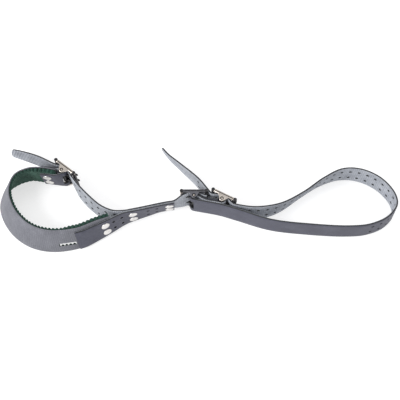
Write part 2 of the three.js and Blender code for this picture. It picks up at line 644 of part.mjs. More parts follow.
// ---- rivets: pairs through the chape, the pad's front end, the lap and the foot chape ------
const halfStrap = STRAP_THICKNESS / 2;
const rivetPairs = {
  chape_rivet: {
    frame: frameAtDistance(padFrames, CHAPE_LENGTH / 2 + 1),
    near: OUTSIDE_COVER - halfStrap,
    far: INSIDE_FELT + halfStrap,
  },
  pad_rivet: {
    frame: frameAtDistance(frontFrames, PAD_RIVET_PLACE),
    near: -halfStrap,
    far: halfStrap + GAP + COVER_THICKNESS + GAP + FELT_THICKNESS,
  },
  lap_rivet: {
    frame: frameAtDistance(frontFrames, frontLength - LAP_RIVET_PLACE),
    near: -halfStrap,
    far: halfStrap + LAYER,
  },
  end_rivet: {
    frame: frameAtDistance(frontFrames, frontLength - END_RIVET_PLACE),
    near: -halfStrap,
    far: halfStrap + LAYER,
  },
  foot_rivet: {
    frame: frameAtDistance(footFrames, footLength - FOOT_RIVET_PLACE),
    near: -halfStrap,
    far: halfStrap + LAYER,
    flush: true,
  },
};
const bores = [];
for (const [name, { frame, near, far, flush }] of Object.entries(rivetPairs)) {
  for (const [label, row] of [['upper', 0.5], ['lower', -0.5]]) {
    const across = row * ROW_SPACING;
    set.add(namedMesh(`${name}_${label}`, rivet(frame, across, near, far, flush), darkFinish()));
    bores.push(rivetBore(frame, across, near, far));
  }
}

// ---- assembly -------------------------------------------------------------------------------
function addStrip(name, finish, frames, thickness, widthAt, tools) {
  const solid = cutAll(ribbonSolid(frames, thickness, widthAt), [...bores, ...tools]);
  set.add(namedMesh(name, toGeometry(solid), finish));
}

addStrip('pad_cover', coverFinish(), padFrames, COVER_THICKNESS, padWidthAt, [padSlotTool()]);
addStrip('pad_felt', feltFinish(), feltFrames, FELT_THICKNESS, padWidthAt, [padSlotTool()]);
addStrip('ankle_chape', strapFinish(), chapeFrames, STRAP_THICKNESS, strapWidthAt, [
  slotTool(ankleBuckle),
]);
addStrip('front_strap', strapFinish(), frontFrames, STRAP_THICKNESS, strapWidthAt, holeRows(
  frontFrames, PAD_RIVET_PLACE + HOLE_PITCH, frontLength - END_RIVET_PLACE - HOLE_CLEARANCE,
  [frontLength - LAP_RIVET_PLACE]));
addStrip('ankle_strap', strapFinish(), ankleFrames, STRAP_THICKNESS, tailWidthAt, [
  ...prongTools(ankleBuckle),
  ...prongTools(middleBuckle),
  ...holeRows(ankleFrames, ankleHoles[0], ankleHoles[1]),
]);
addStrip('foot_strap', strapFinish(), footFrames, STRAP_THICKNESS, tailWidthAt, [
  ...prongTools(footBuckle),
  slotTool(middleBuckle),
  slotTool(footBuckle),
  ...holeRows(footFrames, footHoles[0], footHoles[1], footTaken),
]);

addBuckle('ankle', ankleBuckle);
addBuckle('middle', middleBuckle);
addBuckle('foot', footBuckle);

// The origin is at the middle of the set, on the surface that it stands on.
const box = new THREE.Box3().setFromObject(set);
const middle = box.getCenter(new THREE.Vector3());
set.position.set(-middle.x, -middle.y, -box.min.z);
const part = new THREE.Group();
part.add(set);

export default part;
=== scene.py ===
# The looks of a climbing-iron strap set: a padded ankle loop and a plain foot loop of punched
# strapping, joined by a buckle. Sizes are in millimetres until a mesh is made, then in metres.
import math
from collections import namedtuple

import bmesh
import bpy
from mathutils import Matrix, Vector, noise


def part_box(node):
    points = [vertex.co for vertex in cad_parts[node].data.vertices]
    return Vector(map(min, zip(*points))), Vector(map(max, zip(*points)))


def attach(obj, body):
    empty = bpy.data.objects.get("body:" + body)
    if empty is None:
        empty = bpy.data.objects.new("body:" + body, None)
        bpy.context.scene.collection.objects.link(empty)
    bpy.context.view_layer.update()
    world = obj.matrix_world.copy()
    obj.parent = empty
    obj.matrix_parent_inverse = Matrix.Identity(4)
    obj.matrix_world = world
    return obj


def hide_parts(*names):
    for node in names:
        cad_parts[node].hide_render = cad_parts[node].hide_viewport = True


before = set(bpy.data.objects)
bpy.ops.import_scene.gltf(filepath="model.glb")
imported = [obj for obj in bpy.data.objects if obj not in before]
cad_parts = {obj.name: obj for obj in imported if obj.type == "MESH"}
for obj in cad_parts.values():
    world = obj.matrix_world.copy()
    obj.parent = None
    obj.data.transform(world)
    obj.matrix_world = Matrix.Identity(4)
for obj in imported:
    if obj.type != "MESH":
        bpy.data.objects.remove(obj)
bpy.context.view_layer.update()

MM = 0.001

# ---- sizes, as the frame has them --------------------------------------------
GAP = 0.3
STRAP_WIDTH = 30.0
STRAP_THICKNESS = 2.2
HOLE_RADIUS = 1.7
HOLE_PITCH = 10.0
FIRST_HOLE = 65.0
HOLE_CLEARANCE = 8.0
ROW_SPACING = 13.5
PAD_WIDTH = 37.0
COVER_THICKNESS = 2.2
FELT_THICKNESS = 3.4
PAD_SLOT_LENGTH = 19.0
PAD_SLOT_HEIGHT = 4.5
PAD_SLOT_PLACE = 52.0
PAD_SLOT_RISE = -6.0
PAD_TAPER = 16.0
CHAPE_LENGTH = 16.5
TAIL_TIP_WIDTH = 11.0
TAIL_LENGTH = 70.0
TAIL_CURVE = 0.8
ANKLE_LOOP_LENGTH = 140.0
ANKLE_LOOP_WIDTH = 80.0
FOOT_LOOP_LENGTH = 225.0
FOOT_LOOP_WIDTH = 70.0
LAP_X = -80.0
LAP_LENGTH = 54.0
PAD_LAP_LENGTH = 41.0
FOOT_CHAPE_LENGTH = 15.1
MIDDLE_BUCKLE = (-6.8, 1.5)
BUCKLE_BEYOND_PAD = 7.22
BUCKLE_OFF_PAD = 2.75
BUCKLE_CLEARANCE = 0.958
FOOT_BUCKLE_RISE = 1.796
ANKLE_BUCKLE_ANGLE = -38.3
FOOT_BUCKLE_ANGLE = -27.8
FOOT_CHAPE_ANGLE = -12.6
BAR_SPREAD = 27.0
BAR_RADIUS = 1.2
ROLLER_BORE = 1.45
ROLLER_RADIUS = 2.0
PIN_RADIUS = 1.3
PIN_ROOM = 3.0
EAR_RADIUS = 3.2
PLATE_THICKNESS = 2.4
PLATE_HALF_DEPTH = 1.7
SIDE_PLAY = 0.8
PRONG_RADIUS = 1.2
PRONG_TIP = 0.9
SLEEVE_BORE = 1.45
SLEEVE_RADIUS = 2.1
BAR_PLAY = 0.7
PAD_RIVET_PLACE = 34.0
LAP_RIVET_PLACE = 47.0
END_RIVET_PLACE = 5.4
FOOT_RIVET_PLACE = 4.6
RIVET_HEAD_RADIUS = 4.8
RIVET_HEAD_HEIGHT = 1.1
RIVET_SHANK_RADIUS = 1.6

LAYER = STRAP_THICKNESS + GAP
PIN_SETBACK = PIN_ROOM + STRAP_THICKNESS
HALF_STRAP = STRAP_THICKNESS / 2
PLATE_INNER = STRAP_WIDTH / 2 + SIDE_PLAY
BUCKLE_HALF_HEIGHT = PLATE_INNER + PLATE_THICKNESS
MID_Z = BUCKLE_HALF_HEIGHT
WRAP_RADIUS = SLEEVE_RADIUS + GAP + HALF_STRAP
BAR_WRAP = ROLLER_RADIUS + BAR_PLAY + HALF_STRAP
OVER_CHAPE = -PIN_SETBACK + WRAP_RADIUS + LAYER
FELT_OFFSET = COVER_THICKNESS / 2 + GAP + FELT_THICKNESS / 2
OUTSIDE_COVER = -(COVER_THICKNESS / 2 + GAP + HALF_STRAP)
INSIDE_FELT = FELT_OFFSET + FELT_THICKNESS / 2 + 2 * GAP + HALF_STRAP

# ---- the finish of each piece ------------------------------------------------
STRAP_STEP = 0.55  # between sections of a ribbed strap
PAD_STEP = 1.0
WRAP_STEP = 0.45  # radians between the stations round a pin
RIB_PITCH = 2.2
RIB_DEPTH = 0.16
CORNER_RADIUS = 0.4
# How much painted shade darkens each groove of a strap's ribbed inner face
PLAIN_GROOVE_SHADE = 0.12
TAIL_GROOVE_SHADE = 0.4  # of the ankle strap's tail, where the light rakes across its ribs
TAIL_GROOVE_SHADE_FADE = (60.0, 90.0)  # from the tip
COVER_PLY = 1.5  # the cover's woven ply, at the outer side of the room it has
FELT_PLY = 4.0  # the felt where rivets hold it
FELT_LOOSE = 2.2  # and between them
FELT_CORNER = 0.2
PINKING_PITCH = 4.6
PINKING_DEPTH = 2.5
PINKING_RISE = 0.5  # of the teeth above the cover's edge
HELD_BY_CHAPE = 4.0  # the pad stays pressed flat this far past the chape,
HELD_BY_FRONT = 2.0  # and past the front strap,
SWELL_LENGTH = 14.0  # and comes to its full swell over this length
PAD_SWELL = 0.8
TIP_LENGTH = 3.5  # of a tail's blunt point
TIP_BLUNTNESS = 0.45
TIP_LEAST_WIDTH = 3.0
ROUND_SIDES = 32
FRAME_SIDES = 28


# ---- paths -------------------------------------------------------------------
# A station is (x, y, z, lean): a point of a strap's centre line and the angle in degrees by
# which its upper edge leans to the left of its direction of travel.
Section = namedtuple("Section", "point along up out distance")


def cubic(a, b, slope_a, slope_b, t):
    return (a + slope_a * t + (b * 3 - a * 3 - slope_a * 2 - slope_b) * t ** 2
            + (a * 2 - b * 2 + slope_a + slope_b) * t ** 3)


def cubic_slope(a, b, slope_a, slope_b, t):
    return (slope_a + (b * 3 - a * 3 - slope_a * 2 - slope_b) * 2 * t
            + (a * 2 - b * 2 + slope_a + slope_b) * 3 * t ** 2)


def end_slopes(before, a, b, after):
    """The slopes of a centripetal Catmull-Rom span from a to b."""
    knots = [max((q - p).length, 1e-6) ** 0.5 for p, q in ((before, a), (a, b), (b, after))]
    d0, d1, d2 = knots
    slope_a = (a - before) / d0 - (b - before) / (d0 + d1) + (b - a) / d1
    slope_b = (b - a) / d1 - (after - a) / (d1 + d2) + (after - b) / d2
    return slope_a * d1, slope_b * d1


def follow_path(stations, step):
    points = [Vector(each[:3]) for each in stations]
    leans = [each[3] for each in stations]
    last = len(stations) - 1
    before_first = points[0] * 2 - points[1]
    after_last = points[last] * 2 - points[last - 1]
    sections = []
    travelled = 0.0
    for span in range(last):
        a, b = points[span], points[span + 1]
        before = points[span - 1] if span else before_first
        after = points[span + 2] if span + 2 <= last else after_last
        slopes = end_slopes(before, a, b, after)
        lean_slopes = ((leans[span + 1] - leans[max(span - 1, 0)]) / 2,
                       (leans[min(span + 2, last)] - leans[span]) / 2)
        steps = max(1, math.ceil((b - a).length / step))
        for i in range(steps + (span == last - 1)):
            t = i / steps
            point = cubic(a, b, *slopes, t)
            along = cubic_slope(a, b, *slopes, t)
            along = Vector((along.x, along.y, 0)).normalized()
            left = Vector((-along.y, along.x, 0))
            lean = math.radians(cubic(leans[span], leans[span + 1], *lean_slopes, t))
            up = Vector((0, 0, math.cos(lean))) + left * math.sin(lean)
            out = up.cross(along).normalized()
            if sections:
                travelled += (point - sections[-1].point).length
            sections.append(Section(point, along, up, out, travelled))
    return sections


def section_at(sections, distance):
    after = 1
    while after < len(sections) - 1 and sections[after].distance < distance:
        after += 1
    a, b = sections[after - 1], sections[after]
    part = (distance - a.distance) / (b.distance - a.distance)
    blend = [p.lerp(q, part) for p, q in zip(a[:4], b[:4])]
    return Section(blend[0], blend[1].normalized(), blend[2].normalized(),
                   blend[3].normalized(), distance)


def distance_near(sections, place):
    x, y = place[:2]
    return min(sections, key=lambda s: math.hypot(s.point.x - x, s.point.y - y)).distance


def beside_path(sections, offset):
    return [s._replace(point=s.point + s.out * offset) for s in sections]


def station_beside(sections, distance, offset, z, backwards=False):
    s = section_at(sections, distance)
    point = s.point + s.out * offset
    point = point + s.up * ((z - point.z) / s.up.z)
    lean = math.degrees(math.asin(-s.out.z))
    return (point.x, point.y, z, -lean if backwards else lean)


def round_pin(centre, start_from, go_to, turn, radius=WRAP_RADIUS):
    """Stations round a pin between two straight legs. turn is 1 to the left, -1 to the right."""
    x, y = centre

    def angle_to(point):
        return math.atan2(point[1] - y, point[0] - x)

    def leg_angle(point):
        return math.acos(radius / math.hypot(point[0] - x, point[1] - y))

    start = angle_to(start_from) + turn * leg_angle(start_from)
    end = angle_to(go_to) - turn * leg_angle(go_to)
    swept = (turn * (end - start) + math.pi / 2) % (2 * math.pi) - math.pi / 2
    steps = max(0, round(swept / WRAP_STEP))
    angles = [start + turn * swept * (i / steps if steps else 0.5) for i in range(steps + 1)]
    return [(x + radius * math.cos(a), y + radius * math.sin(a), MID_Z, 0) for a in angles]


# ---- layout ------------------------------------------------------------------
class Buckle:
    """A buckle's own frame: u along the strap, v outwards from the loop, w along the pin."""

    def __init__(self, x, y, angle, flipped=False):
        turn = Matrix.Rotation(math.pi, 4, "Y") if flipped else Matrix.Rotation(math.radians(angle), 4, "Z")
        self.place = Matrix.Translation((x, y, MID_Z)) @ turn
        self.upward = -1 if flipped else 1
        self.pin = self.at(0, -PIN_SETBACK)

    def at(self, u, v):
        point = self.place @ Vector((u, v, 0))
        return (point.x, point.y)

    def shifted(self, u, v):
        """The buckle's frame moved along its own plates."""
        return self.place @ Matrix.Translation((u, v, 0))


def through(buckle, start_from, go_to, first_bar):
    over = buckle.at(0, OVER_CHAPE)
    near_bar = buckle.at(first_bar * BAR_SPREAD / 2, 0)
    far_bar = buckle.at(-first_bar * BAR_SPREAD / 2, 0)
    return [*round_pin(near_bar, start_from, over, 1, BAR_WRAP), (*over, MID_Z, 0),
            *round_pin(far_bar, over, go_to, 1, BAR_WRAP)]


def ankle(along, across):
    return (LAP_X - along * ANKLE_LOOP_LENGTH, across * ANKLE_LOOP_WIDTH)


middle_buckle = Buckle(*MIDDLE_BUCKLE, 0, True)


def foot(along, across):
    return (middle_buckle.pin[0] + along * FOOT_LOOP_LENGTH, across * FOOT_LOOP_WIDTH)


def moved(place, degrees, u, v):
    """A point moved by u along the direction at this angle and by v to the left of it."""
    angle = math.radians(degrees)
    return (place[0] + u * math.cos(angle) - v * math.sin(angle),
            place[1] + u * math.sin(angle) + v * math.cos(angle))


off_pad = COVER_THICKNESS / 2 + 2 * STRAP_THICKNESS + BUCKLE_OFF_PAD
ankle_buckle = Buckle(*moved(ankle(0.59, 0.375), ANKLE_BUCKLE_ANGLE, BUCKLE_BEYOND_PAD, off_pad),
                      ANKLE_BUCKLE_ANGLE)
foot_back_bar = (
    MIDDLE_BUCKLE[0] + BAR_SPREAD / 2 + ROLLER_RADIUS + BUCKLE_CLEARANCE + HALF_STRAP + BAR_WRAP,
    MIDDLE_BUCKLE[1] + FOOT_BUCKLE_RISE)
foot_buckle = Buckle(*moved(foot_back_bar, FOOT_BUCKLE_ANGLE, BAR_SPREAD / 2, 0), FOOT_BUCKLE_ANGLE)

pin_low, pin_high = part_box("middle_pin")
pin_middle = (pin_low + pin_high) / 2 / MM
SHIFT = Vector((pin_middle.x - middle_buckle.pin[0], pin_middle.y - middle_buckle.pin[1], 0))


def pad_station(along, across, lean):
    tilt = math.radians(lean)
    height = (PAD_WIDTH / 2) * math.cos(tilt) + (FELT_OFFSET + FELT_THICKNESS / 2) * math.sin(tilt) + GAP
    return (*ankle(along, across), height, lean)


pad_path = follow_path([pad_station(*each) for each in (
    (0.59, 0.375, 6), (0.7, 0.397, 7), (0.81, 0.392, 9), (0.92, 0.31, 14), (0.984, 0.16, 24),
    (0.993, -0.04, 28), (0.914, -0.33, 27), (0.772, -0.55, 23), (0.6, -0.64, 18),
    (0.38, -0.597, 13), (0.235, -0.475, 8), (0.13, -0.37, 4))], PAD_STEP)
pad_length = pad_path[-1].distance

leg_distances = [part * CHAPE_LENGTH for part in (1, 0.8, 0.6, 0.4, 0.2, 0.05)]
inside_leg = [station_beside(pad_path, d, INSIDE_FELT, MID_Z, True) for d in leg_distances]
outside_leg = [station_beside(pad_path, d, OUTSIDE_COVER, MID_Z) for d in reversed(leg_distances)]
chape_path = follow_path([
    *inside_leg, *round_pin(ankle_buckle.pin, inside_leg[-1], outside_leg[0], 1), *outside_leg,
], STRAP_STEP)


def lap(part, across):
    """A point between the ankle loop and the middle buckle."""
    return (LAP_X + part * (MIDDLE_BUCKLE[0] - LAP_X), across * ANKLE_LOOP_WIDTH)


front_path = follow_path([
    *[station_beside(pad_path, pad_length - part * PAD_LAP_LENGTH, OUTSIDE_COVER, MID_Z)
      for part in (1, 0.83, 0.66, 0.49, 0.32, 0.17, 0.02)],
    (*lap(-0.055, -0.3025), MID_Z, 0), (*lap(0.109, -0.2525), MID_Z, -5),
    (*lap(0.314, -0.196), MID_Z, -9), (*lap(0.492, -0.1475), MID_Z, -12),
    (*lap(0.697, -0.1125), MID_Z, -11),
], STRAP_STEP)
front_length = front_path[-1].distance


def beside_front(back):
    return station_beside(front_path, front_length - back, LAYER, MID_Z)


ankle_tail = ankle_buckle.at(-36, -8)
closing = ankle(0.4, 0.11)
lap_end = beside_front(0)
stub_end = middle_buckle.at(-BAR_SPREAD / 2 - 1, -BAR_WRAP)
ankle_path = follow_path([
    (*ankle_buckle.at(-71.9, -19), MID_Z - 4.7, 16),
    (*ankle_buckle.at(-57.9, -14.1), MID_Z - 3.2, 10), (*ankle_tail, MID_Z - 1, 4),
    *through(ankle_buckle, ankle_tail, closing, -1),
    (*closing, MID_Z, 5), (*ankle(0.31, -0.06), MID_Z, 6), (*ankle(0.21, -0.2), MID_Z, 4),
    (*ankle(0.11, -0.265), MID_Z, 1),
    *[beside_front(part * LAP_LENGTH) for part in (1, 0.89, 0.74, 0.59, 0.44, 0.3, 0.15)],
    lap_end,
    *through(middle_buckle, lap_end, stub_end, 1),
    (*stub_end, MID_Z, 0),
], STRAP_STEP)


foot_pin_x, foot_pin_y = foot_buckle.pin
middle_pin_x, middle_pin_y = middle_buckle.pin


def on_chape_line(back, layers):
    """A station of the foot buckle's chape, back from its pin towards the middle."""
    turn = math.radians(FOOT_CHAPE_ANGLE)
    beside = layers * LAYER - WRAP_RADIUS
    x = foot_pin_x - back * math.cos(turn) - beside * math.sin(turn)
    y = foot_pin_y - back * math.sin(turn) + beside * math.cos(turn)
    return (x, y, MID_Z, 0)


foot_tail = foot_buckle.at(-36, 7)
foot_entry = foot(0.284, -0.236)
near_strap = (foot_pin_x + 17.9, foot_pin_y - 12)
under_foot_pin = (foot_pin_x, foot_pin_y - WRAP_RADIUS - LAYER)
under_middle_pin = (middle_pin_x, middle_pin_y - WRAP_RADIUS)
inner_leg = [on_chape_line(18.8, 0), on_chape_line(6, 0)]
end_leg = [on_chape_line(part * FOOT_CHAPE_LENGTH, 1) for part in (0.37, 0.48, 0.72, 1)]
foot_path = follow_path([
    (*foot_buckle.at(-94.8, 28.6), MID_Z - 4.7, -8), (*foot_buckle.at(-82.6, 22.6), MID_Z - 3.7, -7),
    (*foot_buckle.at(-64.7, 16.5), MID_Z - 1.7, -5), (*foot_tail, MID_Z, -3),
    *through(foot_buckle, foot_tail, foot_entry, -1),
    *[(*foot(along, across), MID_Z - sink, lean) for along, across, sink, lean in (
        (0.284, -0.236, 0, 0), (0.362, -0.222, 0, 0), (0.439, -0.136, 0.5, -5),
        (0.541, 0.077, 1, -11), (0.644, 0.31, 1.5, -8), (0.747, 0.455, 2, -2),
        (0.843, 0.44, 2, -1), (0.937, 0.275, 2, -2), (0.995, 0.01, 2, -4), (0.998, -0.186, 2, -4),
        (0.947, -0.386, 2, -2), (0.857, -0.514, 2, 0), (0.755, -0.55, 1.5, 1),
        (0.564, -0.521, 1, 1), (0.377, -0.45, 0, 1))],
    (*near_strap, MID_Z, 0),
    *round_pin(foot_buckle.pin, near_strap, under_middle_pin, -1, WRAP_RADIUS + LAYER),
    *round_pin(middle_buckle.pin, under_foot_pin, inner_leg[0], -1),
    *inner_leg,
    *round_pin(foot_buckle.pin, inner_leg[1], end_leg[0], 1),
    *end_leg,
], STRAP_STEP)
foot_length = foot_path[-1].distance


# ---- materials ---------------------------------------------------------------
class Finish:
    """A material being wired, with short calls for the nodes that the finishes share."""

    def __init__(self, name, roughness, metallic=0.0):
        self.material = bpy.data.materials.new(name)
        self.material.use_nodes = True
        self.nodes = self.material.node_tree.nodes
        self.links = self.material.node_tree.links
        self.shader = self.nodes["Principled BSDF"]
        self.shader.inputs["Roughness"].default_value = roughness
        self.shader.inputs["Metallic"].default_value = metallic

    def node(self, kind, values=None, inputs=None):
        node = self.nodes.new(kind)
        for key, value in (values or {}).items():
            setattr(node, key, value)
        for key, value in (inputs or {}).items():
            if isinstance(value, bpy.types.NodeSocket):
                self.links.new(value, node.inputs[key])
            else:
                node.inputs[key].default_value = value
        return node

    def strap_coordinates(self, along, across):
        """The distance along and across a strap, each multiplied by a scale."""
        place = self.node("ShaderNodeUVMap", {"uv_map": STRAP_MAP})
        return self.node("ShaderNodeMapping", inputs={
            "Vector": place.outputs["UV"], "Scale": (along, across, 1)}).outputs["Vector"]

    def object_coordinates(self):
        return self.node("ShaderNodeTexCoord").outputs["Object"]

    def noise(self, vector, scale, detail=4.0, roughness=0.55):
        return self.node("ShaderNodeTexNoise", inputs={
            "Vector": vector, "Scale": scale, "Detail": detail, "Roughness": roughness,
        }).outputs["Fac"]

    def wave(self, vector, scale, direction, distortion=0.0):
        return self.node("ShaderNodeTexWave", {"bands_direction": direction}, {
            "Vector": vector, "Scale": scale, "Distortion": distortion,
            "Detail": 2.0, "Detail Scale": 2.0}).outputs["Fac"]

    def math(self, operation, a, b):
        return self.node("ShaderNodeMath", {"operation": operation}, {0: a, 1: b}).outputs[0]

    def blend(self, a, share_a, b, share_b):
        return self.math("ADD", self.math("MULTIPLY", a, share_a), self.math("MULTIPLY", b, share_b))

    def ramp(self, factor, stops):
        node = self.node("ShaderNodeValToRGB", inputs={"Fac": factor})
        elements = node.color_ramp.elements
        while len(elements) < len(stops):
            elements.new(0.5)
        for element, (place, colour) in zip(elements, stops):
            element.position = place
            element.color = (*colour, 1)
        return node.outputs["Color"]

    def spread(self, factor, low, high):
        """A factor from 0 to 1 taken to the range from low to high."""
        return self.node("ShaderNodeMapRange", inputs={
            "Value": factor, "To Min": low, "To Max": high}).outputs["Result"]

    def colour(self, source):
        self.links.new(source, self.shader.inputs["Base Color"])

    def rough(self, source):
        self.links.new(source, self.shader.inputs["Roughness"])

    def bump(self, height, distance, strength=1.0):
        node = self.node("ShaderNodeBump", inputs={
            "Height": height, "Distance": distance, "Strength": strength})
        self.links.new(node.outputs["Normal"], self.shader.inputs["Normal"])


STRAP_MAP = "strap"


def grey(value, warmth=0.0):
    """A linear grey, bluish below zero warmth."""
    return (value * (1 + warmth), value, value * (1 - warmth))


def strap_outer_finish():
    finish = Finish("strap_outer", 0.5)
    finish.shader.inputs["Specular IOR Level"].default_value = 0.32
    place = finish.strap_coordinates(1, 1)
    mottle = finish.noise(place, 260, 5)
    cloud = finish.noise(finish.object_coordinates(), 45, 3)
    tone = finish.blend(mottle, 0.55, cloud, 0.45)
    finish.colour(finish.ramp(tone, [
        (0.3, (0.04, 0.0415, 0.061)), (0.52, (0.062, 0.064, 0.09)), (0.72, (0.092, 0.094, 0.125))]))
    finish.rough(finish.spread(mottle, 0.42, 0.62))
    grain = finish.noise(finish.strap_coordinates(1, 1), 1500, 3)
    finish.bump(finish.math("ADD", grain, finish.math("MULTIPLY", mottle, 0.8)), 0.00012, 0.7)
    return finish.material


def strap_inner_finish(name, tip_groove_shade):
    """The ribbed inner face, with painted shade along each groove. The painted shade given holds near the
    strap's tip.
    """
    finish = Finish(name, 0.8)
    place = finish.node("ShaderNodeUVMap", {"uv_map": STRAP_MAP}).outputs["UV"]
    along = finish.node("ShaderNodeSeparateXYZ", inputs={"Vector": place}).outputs["X"]
    phase = finish.math("MULTIPLY", along, 2 * math.pi / (RIB_PITCH * MM))
    ribs = finish.math("MULTIPLY", finish.math("ADD", finish.math("COSINE", phase, 0), 1.0), 0.5)
    # painted shade along each groove, fading from the amount given at the tip to the plain amount
    groove_shade_depth = finish.node("ShaderNodeMapRange", inputs={
        "Value": along, "From Min": TAIL_GROOVE_SHADE_FADE[0] * MM, "From Max": TAIL_GROOVE_SHADE_FADE[1] * MM,
        "To Min": tip_groove_shade, "To Max": PLAIN_GROOVE_SHADE}).outputs["Result"]
    threads = finish.wave(finish.strap_coordinates(1, 1), 420, "Y", 0.6)
    cloud = finish.noise(finish.object_coordinates(), 90, 5, 0.7)
    fleck = finish.noise(finish.strap_coordinates(1, 1), 900, 3)
    tone = finish.blend(cloud, 0.6, fleck, 0.4)
    groove_shade = finish.math("MULTIPLY", finish.math("SUBTRACT", 1.0, ribs), groove_shade_depth)
    tone = finish.math("SUBTRACT", tone, groove_shade)
    finish.colour(finish.ramp(tone, [
        (0.0, (0.05, 0.054, 0.066)), (0.32, (0.27, 0.285, 0.32)), (0.5, (0.38, 0.4, 0.44)),
        (0.68, (0.5, 0.52, 0.56))]))
    finish.bump(finish.math("ADD", threads, finish.math("MULTIPLY", ribs, 0.6)), 0.00014, 0.6)
    return finish.material


def strap_edge_finish():
    finish = Finish("strap_edge", 0.62)
    fibre = finish.noise(finish.object_coordinates(), 1400, 4)
    finish.colour(finish.ramp(fibre, [(0.35, grey(0.006)), (0.7, grey(0.03, -0.1))]))
    finish.bump(fibre, 0.0002, 0.6)
    return finish.material


def woven_finish(name, dark, middle, light, pitch, depth):
    """A plain weave: two sets of threads at right angles, with mottled dyeing."""
    finish = Finish(name, 0.85)
    finish.shader.inputs["Sheen Weight"].default_value = 0.15
    scale = 1 / (pitch * MM) / math.pi / 2
    warp = finish.wave(finish.strap_coordinates(1, 1), scale, "X", 0.5)
    weft = finish.wave(finish.strap_coordinates(1, 1), scale, "Y", 0.5)
    weave = finish.math("MULTIPLY", warp, weft)
    cloud = finish.noise(finish.object_coordinates(), 70, 6, 0.7)
    fleck = finish.noise(finish.strap_coordinates(1, 1), 800, 4, 0.7)
    tone = finish.blend(cloud, 0.45, fleck, 0.4)
    tone = finish.math("ADD", tone, finish.math("MULTIPLY", weave, 0.15))
    finish.colour(finish.ramp(tone, [(0.3, dark), (0.5, middle), (0.7, light)]))
    finish.bump(weave, depth * MM, 0.8)
    return finish.material


def felt_finish():
    finish = Finish("felt", 1.0)
    finish.shader.inputs["Sheen Weight"].default_value = 0.25
    finish.shader.inputs["Sheen Tint"].default_value = (0.3, 0.6, 0.45, 1)
    place = finish.object_coordinates()
    fibre = finish.noise(place, 1200, 6, 0.75)
    cloud = finish.noise(place, 120, 4)
    tone = finish.blend(fibre, 0.6, cloud, 0.4)
    finish.colour(finish.ramp(tone, [
        (0.3, (0.002, 0.01, 0.0075)), (0.5, (0.006, 0.03, 0.022)), (0.72, (0.02, 0.07, 0.052))]))
    finish.bump(fibre, 0.0005, 1.0)
    return finish.material


def metal_finish(name, base, worn, roughness, metallic):
    """A metal with fine scratches and a duller, worn tone in patches."""
    finish = Finish(name, roughness, metallic)
    place = finish.object_coordinates()
    patches = finish.noise(place, 160, 5, 0.6)
    scratches = finish.noise(finish.node("ShaderNodeMapping", inputs={
        "Vector": place, "Scale": (1, 6, 1)}).outputs["Vector"], 900, 3)
    finish.colour(finish.ramp(patches, [(0.35, base), (0.7, worn)]))
    finish.rough(finish.spread(scratches, roughness * 0.7, roughness * 1.5))
    finish.bump(scratches, 0.00003, 0.5)
    return finish.material


STRAP_OUTER = strap_outer_finish()
# The second is painted with deeper shade along each groove near the tip of the ankle strap's tail.
STRAP_INNER = strap_inner_finish("strap_inner", PLAIN_GROOVE_SHADE)
TAIL_SHADED_INNER = strap_inner_finish("strap_inner_tail_shade", TAIL_GROOVE_SHADE)
STRAP_EDGE = strap_edge_finish()
COVER = woven_finish(
    "pad_cover", (0.075, 0.077, 0.094), (0.125, 0.128, 0.15), (0.2, 0.203, 0.23), 1.1, 0.25)
COVER_EDGE = woven_finish(
    "pad_cover_edge", (0.02, 0.02, 0.024), (0.04, 0.04, 0.046), (0.08, 0.08, 0.09), 0.8, 0.2)
FELT = felt_finish()
NICKEL = metal_finish("nickel", (0.66, 0.6, 0.54), (0.5, 0.46, 0.43), 0.22, 1.0)
# Nickel darkened as painted shade and dark reflection, for the middle buckle's plates.
SHADED_NICKEL = metal_finish("nickel_painted_shade", (0.16, 0.16, 0.18), (0.09, 0.09, 0.1), 0.34, 0.9)
# Dark steel for the tongues. On the rollers and bar caps, and in each plate's groove and pin bore, its
# darkness is painted dark reflection and shade.
DARK_STEEL_AND_SHADE = metal_finish("dark_steel", (0.012, 0.012, 0.014), (0.045, 0.043, 0.045), 0.36, 0.6)
RIVET_STEEL = metal_finish("rivet_steel", (0.76, 0.74, 0.72), (0.6, 0.59, 0.58), 0.34, 1.0)


# ---- meshes ------------------------------------------------------------------
def add_object(name, mesh, materials):
    for material in materials:
        mesh.materials.append(material)
    piece = bpy.data.objects.new(name, mesh)
    bpy.context.scene.collection.objects.link(piece)
    return piece


def smooth(piece, angle=35):
    for face in piece.data.polygons:
        face.use_smooth = True
    piece.data.set_sharp_from_angle(angle=math.radians(angle))


def cut(piece, cutter, operation="DIFFERENCE"):
    """Cuts or joins with another object, which is used up."""
    modifier = piece.modifiers.new("cut", "BOOLEAN")
    modifier.operation = operation
    modifier.solver = "MANIFOLD"
    modifier.object = cutter
    graph = bpy.context.evaluated_depsgraph_get()
    mesh = bpy.data.meshes.new_from_object(piece.evaluated_get(graph))
    piece.modifiers.clear()
    piece.data = mesh
    bpy.data.objects.remove(cutter)


def settled(mesh, place):
    """Turns a mesh's faces outwards and takes it from millimetres at its place to scene metres."""
    bmesh.ops.recalc_face_normals(mesh, faces=mesh.faces)
    mesh.transform(Matrix.Scale(MM, 4) @ Matrix.Translation(SHIFT) @ place)
    return mesh


def band(mesh, lower, upper):
    """A closed strip of faces between two rings of corners."""
    for i in range(len(lower)):
        j = (i + 1) % len(lower)
        mesh.faces.new((lower[i], lower[j], upper[j], upper[i]))


